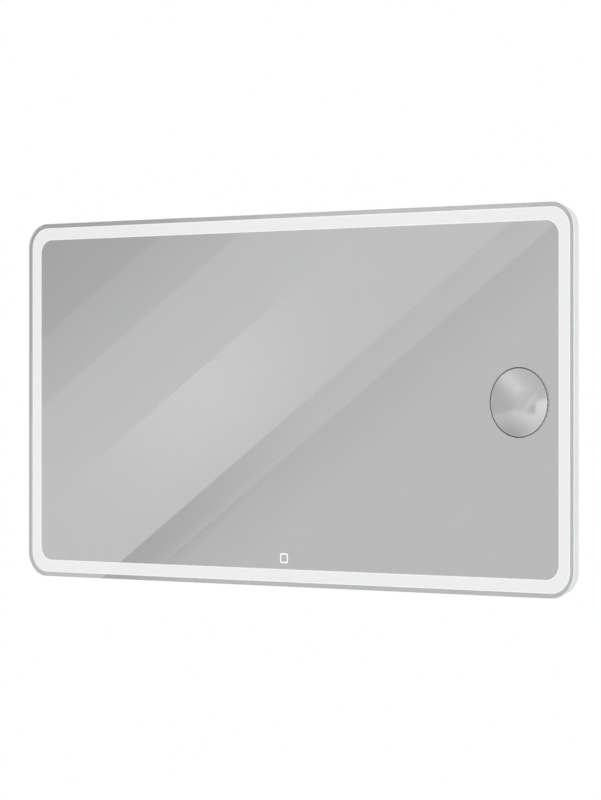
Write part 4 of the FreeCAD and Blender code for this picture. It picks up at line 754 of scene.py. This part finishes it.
# %% [markdown]
# ## The shaving mirror and its ring
#
# The small mirror is pressed hollow to a radius of 400 mm, so a face close to it looks larger. That hollow
# is why it shows other parts of the room than the flat mirror around it. A rubber ring holds it in the
# hole: its lip stands between the two mirrors and is the thin dark line of the photo. Both are sections
# turned round one axis.

# %% The shaving mirror and its ring
CURVE, THICK, EASE, LENS_TURNS, LENS_RINGS = 400.0, 1.88, 0.3, 160, 25
_, _, lens_radius, _, _, rim_rise = box_mm("magnifier_mirror")
_, _, ring_radius, _, ring_back, ring_front = box_mm("magnifier_gasket")
centre_rise = rim_rise + math.sqrt(CURVE ** 2 - lens_radius ** 2)
rings = np.sin(np.linspace(0, math.pi / 2, LENS_RINGS)) * (lens_radius - EASE)
hollow = [(r, centre_rise - math.sqrt(CURVE ** 2 - r * r)) for r in rings]
behind = [(r, centre_rise - math.sqrt((CURVE + THICK) ** 2 - r * r)) for r in rings[::-1]]
edges = hollow + [(lens_radius, hollow[-1][1] - EASE), (lens_radius, behind[0][1] + EASE)] + behind
points, faces = eye_shell(turns_of(LENS_TURNS), edges, close=False)
make_piece("shaving_mirror", points + (lens_x, 0, lens_z), faces, "magnifier_mirror", ["shaving_silvering"])

SHELF_IN, SHELF_HIGH, LIP, RING_BEVEL = 4.0, 1.2, 0.5, 0.2
edges = ([(lens_radius - SHELF_IN, ring_back), (ring_radius - RING_BEVEL, ring_back),
          (ring_radius, ring_back + RING_BEVEL)]
         + bend(ring_radius - LIP, ring_front - LIP, LIP, 0, 90)
         + bend(lens_radius + LIP, ring_front - LIP, LIP, 90, 180)
         + [(lens_radius, ring_back + SHELF_HIGH), (lens_radius - SHELF_IN, ring_back + SHELF_HIGH)])
points, faces = eye_shell(turns_of(LENS_TURNS), edges)
make_piece("mirror_ring", points + (lens_x, 0, lens_z), faces, "magnifier_gasket", ["black_ring"])

# %% [markdown]
# ## The side frame
#
# The side is one strip of extruded aluminium, bent round four corners and closed at the bottom, where a
# fine seam stays. Its lips carry the glass in front and the panel behind. An extrusion has no knife edges,
# so each corner of the section is an arc. The section is carried along the outline: a corner centre plus a
# normal times the corner's radius, less the inset.

# %% The side frame
def eased(corners, steps=4):
    """A polygon whose corners (inset, rise, radius) become arcs, from one side of each to the other."""
    spots = np.array([corner[:2] for corner in corners])
    out = []
    for i, (_, _, radius) in enumerate(corners):
        here, before, after = spots[i], spots[i - 1], spots[(i + 1) % len(spots)]
        to_before = (before - here) / np.linalg.norm(before - here)
        to_after = (after - here) / np.linalg.norm(after - here)
        t = np.linspace(0, 1, steps + 1)[:, None]
        quarter = np.hstack([np.cos(t * math.pi / 2), np.sin(t * math.pi / 2)])
        centre = here + radius * (to_before + to_after)
        out.append(centre - radius * (quarter[:, :1] * to_after + quarter[:, 1:] * to_before))
    return np.concatenate(out)


FRAME_INSET, WALL, FRONT_LIP, REAR_LIP, LIP_RISE, SEAM, ARC_STEPS = 5.0, 1.5, 4.0, 9.0, 1.0, 0.3, 28
frame_top = box_mm("side_frame")[5]
within, front_end, rear_end = FRAME_INSET + WALL, FRAME_INSET + FRONT_LIP, FRAME_INSET + REAR_LIP
section = eased([
    (FRAME_INSET, 0.0, 0.3), (FRAME_INSET, frame_top, 0.8), (front_end, frame_top, 0.3),
    (front_end, frame_top - WALL, 0.3), (within, frame_top - WALL, 0.4), (within, LIP_RISE + WALL, 0.4),
    (rear_end, LIP_RISE + WALL, 0.3), (rear_end, LIP_RISE, 0.3), (within, LIP_RISE, 0.1), (within, 0.0, 0.3),
])
quarter = np.radians(np.linspace(-90, 0, ARC_STEPS + 1))
turn = np.concatenate([[-math.pi / 2]] + [quarter + k * math.pi / 2 for k in range(4)] + [[-math.pi / 2]])
far, high = half_x - CORNER, half_z - CORNER  # the corner centres
counts = [1] + [ARC_STEPS + 1] * 4 + [1]
mid_x = np.repeat([SEAM / 2, far, far, -far, -far, -SEAM / 2], counts)
mid_z = np.repeat([-high, -high, high, high, -high, -high], counts)
out = CORNER - section[:, 0]
depth = np.broadcast_to(-section[:, 1], (len(turn), len(out)))
points = np.stack([mid_x[:, None] + out * np.cos(turn)[:, None], depth,
                   mid_z[:, None] + out * np.sin(turn)[:, None]], -1).reshape(-1, 3)
faces = face_strips(len(turn), len(out), close=False).tolist()
faces += [list(range(len(out))), list(range(len(points) - len(out), len(points)))]
make_piece("frame_channel", points, faces, "side_frame", ["white_paint"], smooth=40)

# %% [markdown]
# ## Pressed plates in the back
#
# Two hangers and the wiring plate are pressed from sheet, so that screw heads and the cable stay inside the
# mirror's depth. A press can't fold sheet to a knife edge: the inside of a bend has a small radius, and the
# outside has that radius plus the sheet. The section below is one such plate, from the eye in its floor out
# to the flange and back, and the rays start in the eye: the head of the keyhole, or the cable's hole.

# %% Pressed plates
FLANGE_BACK = 1.0  # the plates' flanges lie on the front of the panel
INNER_BEND, FLANGE_BEVEL, EYE_BEVEL = 0.4, 0.2, 0.15


def pressed_plate(eye, pocket, flange, thick, floor_back, angles):
    """The plate's section from its eye out and back; an inset is how far inside the pocket's wall it is."""
    outer = INNER_BEND + thick
    mouth = (-outer, FLANGE_BACK + outer)
    floor = (INNER_BEND, floor_back - INNER_BEND)
    back = (bend(*floor, INNER_BEND, 90, 180) + bend(*mouth, outer, 0, -90)
            + [(-flange + FLANGE_BEVEL, FLANGE_BACK), (-flange, FLANGE_BACK + FLANGE_BEVEL)])
    front = ([(-flange, FLANGE_BACK + thick - FLANGE_BEVEL), (-flange + FLANGE_BEVEL, FLANGE_BACK + thick)]
             + bend(*mouth, INNER_BEND, -90, 0) + bend(*floor, outer, 180, 90))
    section = [(reach(pocket, angles, inset), rise) for inset, rise in back + front]
    floor_front = floor_back + thick
    hole = [(eye + EYE_BEVEL, floor_front), (eye, floor_front - EYE_BEVEL),
            (eye, floor_back + EYE_BEVEL), (eye + EYE_BEVEL, floor_back)]
    return eye_shell(angles, section + hole)


HANGER_X, EYE_Z, EYE_UP = 450.0, 254.0, 8.0
KEY_RADIUS, KEY_SLOT, KEY_RISE = 6.0, 3.0, 18.0
KEY_TURNS, KEY_END_TURNS, COVER_TURNS, POCKET_ARC_TURNS = 120, 19, 96, 9
HANGER_POCKET, HANGER_FLANGE, HANGER_SHEET, HANGER_FLOOR = (32.0, 22.0, 6.0), 8.0, 1.5, 5.0


def keyhole(x, z):
    """Distance to a keyhole: the nearer of a circle and an upright slot."""
    slot = np.hypot(x, z - np.clip(z, 0, KEY_RISE)) - KEY_SLOT
    return np.minimum(np.hypot(x, z) - KEY_RADIUS, slot)


shoulder = math.acos(KEY_SLOT / KEY_RADIUS)
slot_end = math.atan2(KEY_RISE, KEY_SLOT)
angles = np.concatenate([turns_of(KEY_TURNS), [shoulder, math.pi - shoulder],
                         np.linspace(slot_end, math.pi - slot_end, KEY_END_TURNS),
                         turns_to_corners(*HANGER_POCKET, (0.0, EYE_UP), POCKET_ARC_TURNS)])
pocket = rounded(*HANGER_POCKET, (0.0, EYE_UP))
angles = np.unique(np.round(angles, 4))
eye = reach(keyhole, angles, limit=60)
points, faces = pressed_plate(eye, pocket, HANGER_FLANGE, HANGER_SHEET, HANGER_FLOOR, angles)
for side, node in ((-1, "hanger_left"), (1, "hanger_right")):
    make_piece(f"pressed_{node}", points + (side * HANGER_X, 0, EYE_Z), faces, node, [slots[node]])

COVER_X, COVER_Z, CABLE_X = 90.0, -40.0, 125.0
COVER_POCKET, COVER_FLANGE, COVER_SHEET, COVER_FLOOR, CABLE_HOLE = (60.0, 40.0, 8.0), 9.0, 1.0, 7.0, 6.5
pocket = rounded(*COVER_POCKET, (COVER_X - CABLE_X, 0.0))
corners = turns_to_corners(*COVER_POCKET, (COVER_X - CABLE_X, 0.0), POCKET_ARC_TURNS)
angles = np.append(turns_of(COVER_TURNS), corners)
angles = np.unique(np.round(angles, 4))
eye = np.full_like(angles, CABLE_HOLE)
points, faces = pressed_plate(eye, pocket, COVER_FLANGE, COVER_SHEET, COVER_FLOOR, angles)
make_piece("wiring_plate", points + (CABLE_X, 0, COVER_Z), faces, "wiring_cover", [slots["wiring_cover"]])

# %% [markdown]
# ## The cable's grommet
#
# A rubber grommet lines the hole that the supply cable comes through. It is one moulded ring with a groove
# that the plate's edge sits in, and all its lips are round. A torus would miss the groove, so it is a
# section turned round its axis.

# %% The grommet
BORE, RIM, RIM_THICK, BORE_ROUND, RIM_ROUND, GROMMET_TURNS = 4.5, 9.0, 1.5, 0.5, 0.6, 72
plate_back, plate_front = COVER_FLOOR, COVER_FLOOR + COVER_SHEET
low, high = plate_back - RIM_THICK, plate_front + RIM_THICK
edges = (bend(BORE + BORE_ROUND, low + BORE_ROUND, BORE_ROUND, 180, 270)
         + bend(RIM - RIM_ROUND, low + RIM_ROUND, RIM_ROUND, -90, 0)
         + [(RIM, plate_back), (CABLE_HOLE, plate_back), (CABLE_HOLE, plate_front), (RIM, plate_front)]
         + bend(RIM - RIM_ROUND, high - RIM_ROUND, RIM_ROUND, 0, 90)
         + bend(BORE + BORE_ROUND, high - BORE_ROUND, BORE_ROUND, 90, 180))
points, faces = eye_shell(turns_of(GROMMET_TURNS), edges)
make_piece("rubber_grommet", points + (CABLE_X, 0, COVER_Z), faces, "cable_grommet", ["grommet_rubber"])

# %% [markdown]
# ## Screws and rivets
#
# Seen from the back, a countersunk screw is its cross recess and a blind rivet is the small pit where its
# mandrel broke off. Both heads lie flush in the panel. One of each is made by rays from its middle, and the
# rest are the same points moved to the other places, all at once.

# %% Screws and rivets
SCREW_HEAD, SCREW_RADIUS, SCREW_LONG, PANEL, RAIL_SHEET = 2.6, 1.5, 4.5, 1.0, 1.0
RIVET_HEAD, RIVET_RADIUS, RIVET_TAIL, RIVET_TURNS = 2.6, 1.6, 0.9, 20
CROSS_ARM, CROSS_HALF, CROSS_DEEP, PIT_DEEP = 1.55, 0.38, 0.75, 0.6


def cross(x, z):
    """Distance to a plus sign: the nearer of its two bars."""
    level = np.maximum(np.abs(x) - CROSS_ARM, np.abs(z) - CROSS_HALF)
    return np.minimum(level, np.maximum(np.abs(x) - CROSS_HALF, np.abs(z) - CROSS_ARM))


arm_end = math.atan2(CROSS_HALF, CROSS_ARM)
quarter = [0.0, arm_end, 0.45, math.pi / 4, 1.12, math.pi / 2 - arm_end]  # the inner corner between two rays
cross_angles = np.add.outer(np.arange(4) * math.pi / 2, quarter).ravel()
arm = reach(cross, cross_angles, limit=3)
screw_edges = [(0, CROSS_DEEP), (0.55 * arm, 0.7), (arm, 0.08), (arm + 0.06, 0.0), (SCREW_HEAD - 0.08, 0.0),
               (SCREW_HEAD, 0.06), (SCREW_RADIUS, PANEL), (SCREW_RADIUS, SCREW_LONG - 0.4),
               (SCREW_RADIUS - 0.35, SCREW_LONG), (0, SCREW_LONG)]
screw = eye_shell(cross_angles, screw_edges, close=False)


def rivet_shape(grip):
    """A flush rivet: a pit where its mandrel broke off, a shank as long as the grip, and a closed end."""
    end = grip + RIVET_TAIL
    edges = [(0, PIT_DEEP), (0.7, 0.55), (0.8, 0.05), (0.85, 0.0), (RIVET_HEAD - 0.08, 0.0),
             (RIVET_HEAD, 0.06), (RIVET_RADIUS, PANEL), (RIVET_RADIUS, grip), (RIVET_HEAD - 0.2, grip),
             (RIVET_HEAD, grip + 0.2), (RIVET_HEAD - 0.3, end - 0.15), (RIVET_HEAD - 0.8, end), (0, end)]
    return eye_shell(turns_of(RIVET_TURNS), edges, close=False)


def copies(shape, places):
    """The shape's points at every place (x, z), and its faces with their numbers moved on."""
    points, faces = shape
    places = np.array([(x, 0.0, z) for x, z in places])
    every = (points[None] + places[:, None]).reshape(-1, 3)
    return every, (faces[None] + (np.arange(len(places)) * len(points))[:, None, None]).reshape(-1, 4)


# places (x, z) on the back, in millimetres, as the construction has them
panel_places = ([(x, 339.6) for x in (-500, -250, 0, 250, 500)]
                + [(x, -339.6) for x in (-500, -250, 250, 500)]
                + [(x, z) for x in (-639.6, 639.6) for z in (-200, 0, 200)])
cover_places = [(x, z) for x in (25.0, 155.0) for z in (-9.0, -71.0)]
rail_places = ([(x, 306.5) for x in (-545, -272.5, 0, 272.5, 545)]
               + [(x, -306.5) for x in (-545, -317.5, -90, 90, 317.5, 545)]
               + [(x, z) for x in (-606.5, 606.5) for z in (-245, -81.67, 81.67, 245)])
hanger_places = [(side * HANGER_X + dx, EYE_Z + EYE_UP + dz)
                 for side in (-1, 1) for dx in (-36.75, 36.75) for dz in (-14, 14)]
rail_rivet, hanger_rivet = rivet_shape(PANEL + RAIL_SHEET), rivet_shape(PANEL + HANGER_SHEET)
make_piece("cross_screws", *copies(screw, panel_places), "panel_screws", ["screw_steel"])
make_piece("cover_cross_screws", *copies(screw, cover_places), "wiring_cover_screws", ["screw_steel"])
make_piece("rail_blind_rivets", *copies(rail_rivet, rail_places), "rail_rivets", ["rivet_aluminium"])
make_piece("hanger_blind_rivets", *copies(hanger_rivet, hanger_places), "hanger_rivets", ["rivet_aluminium"])
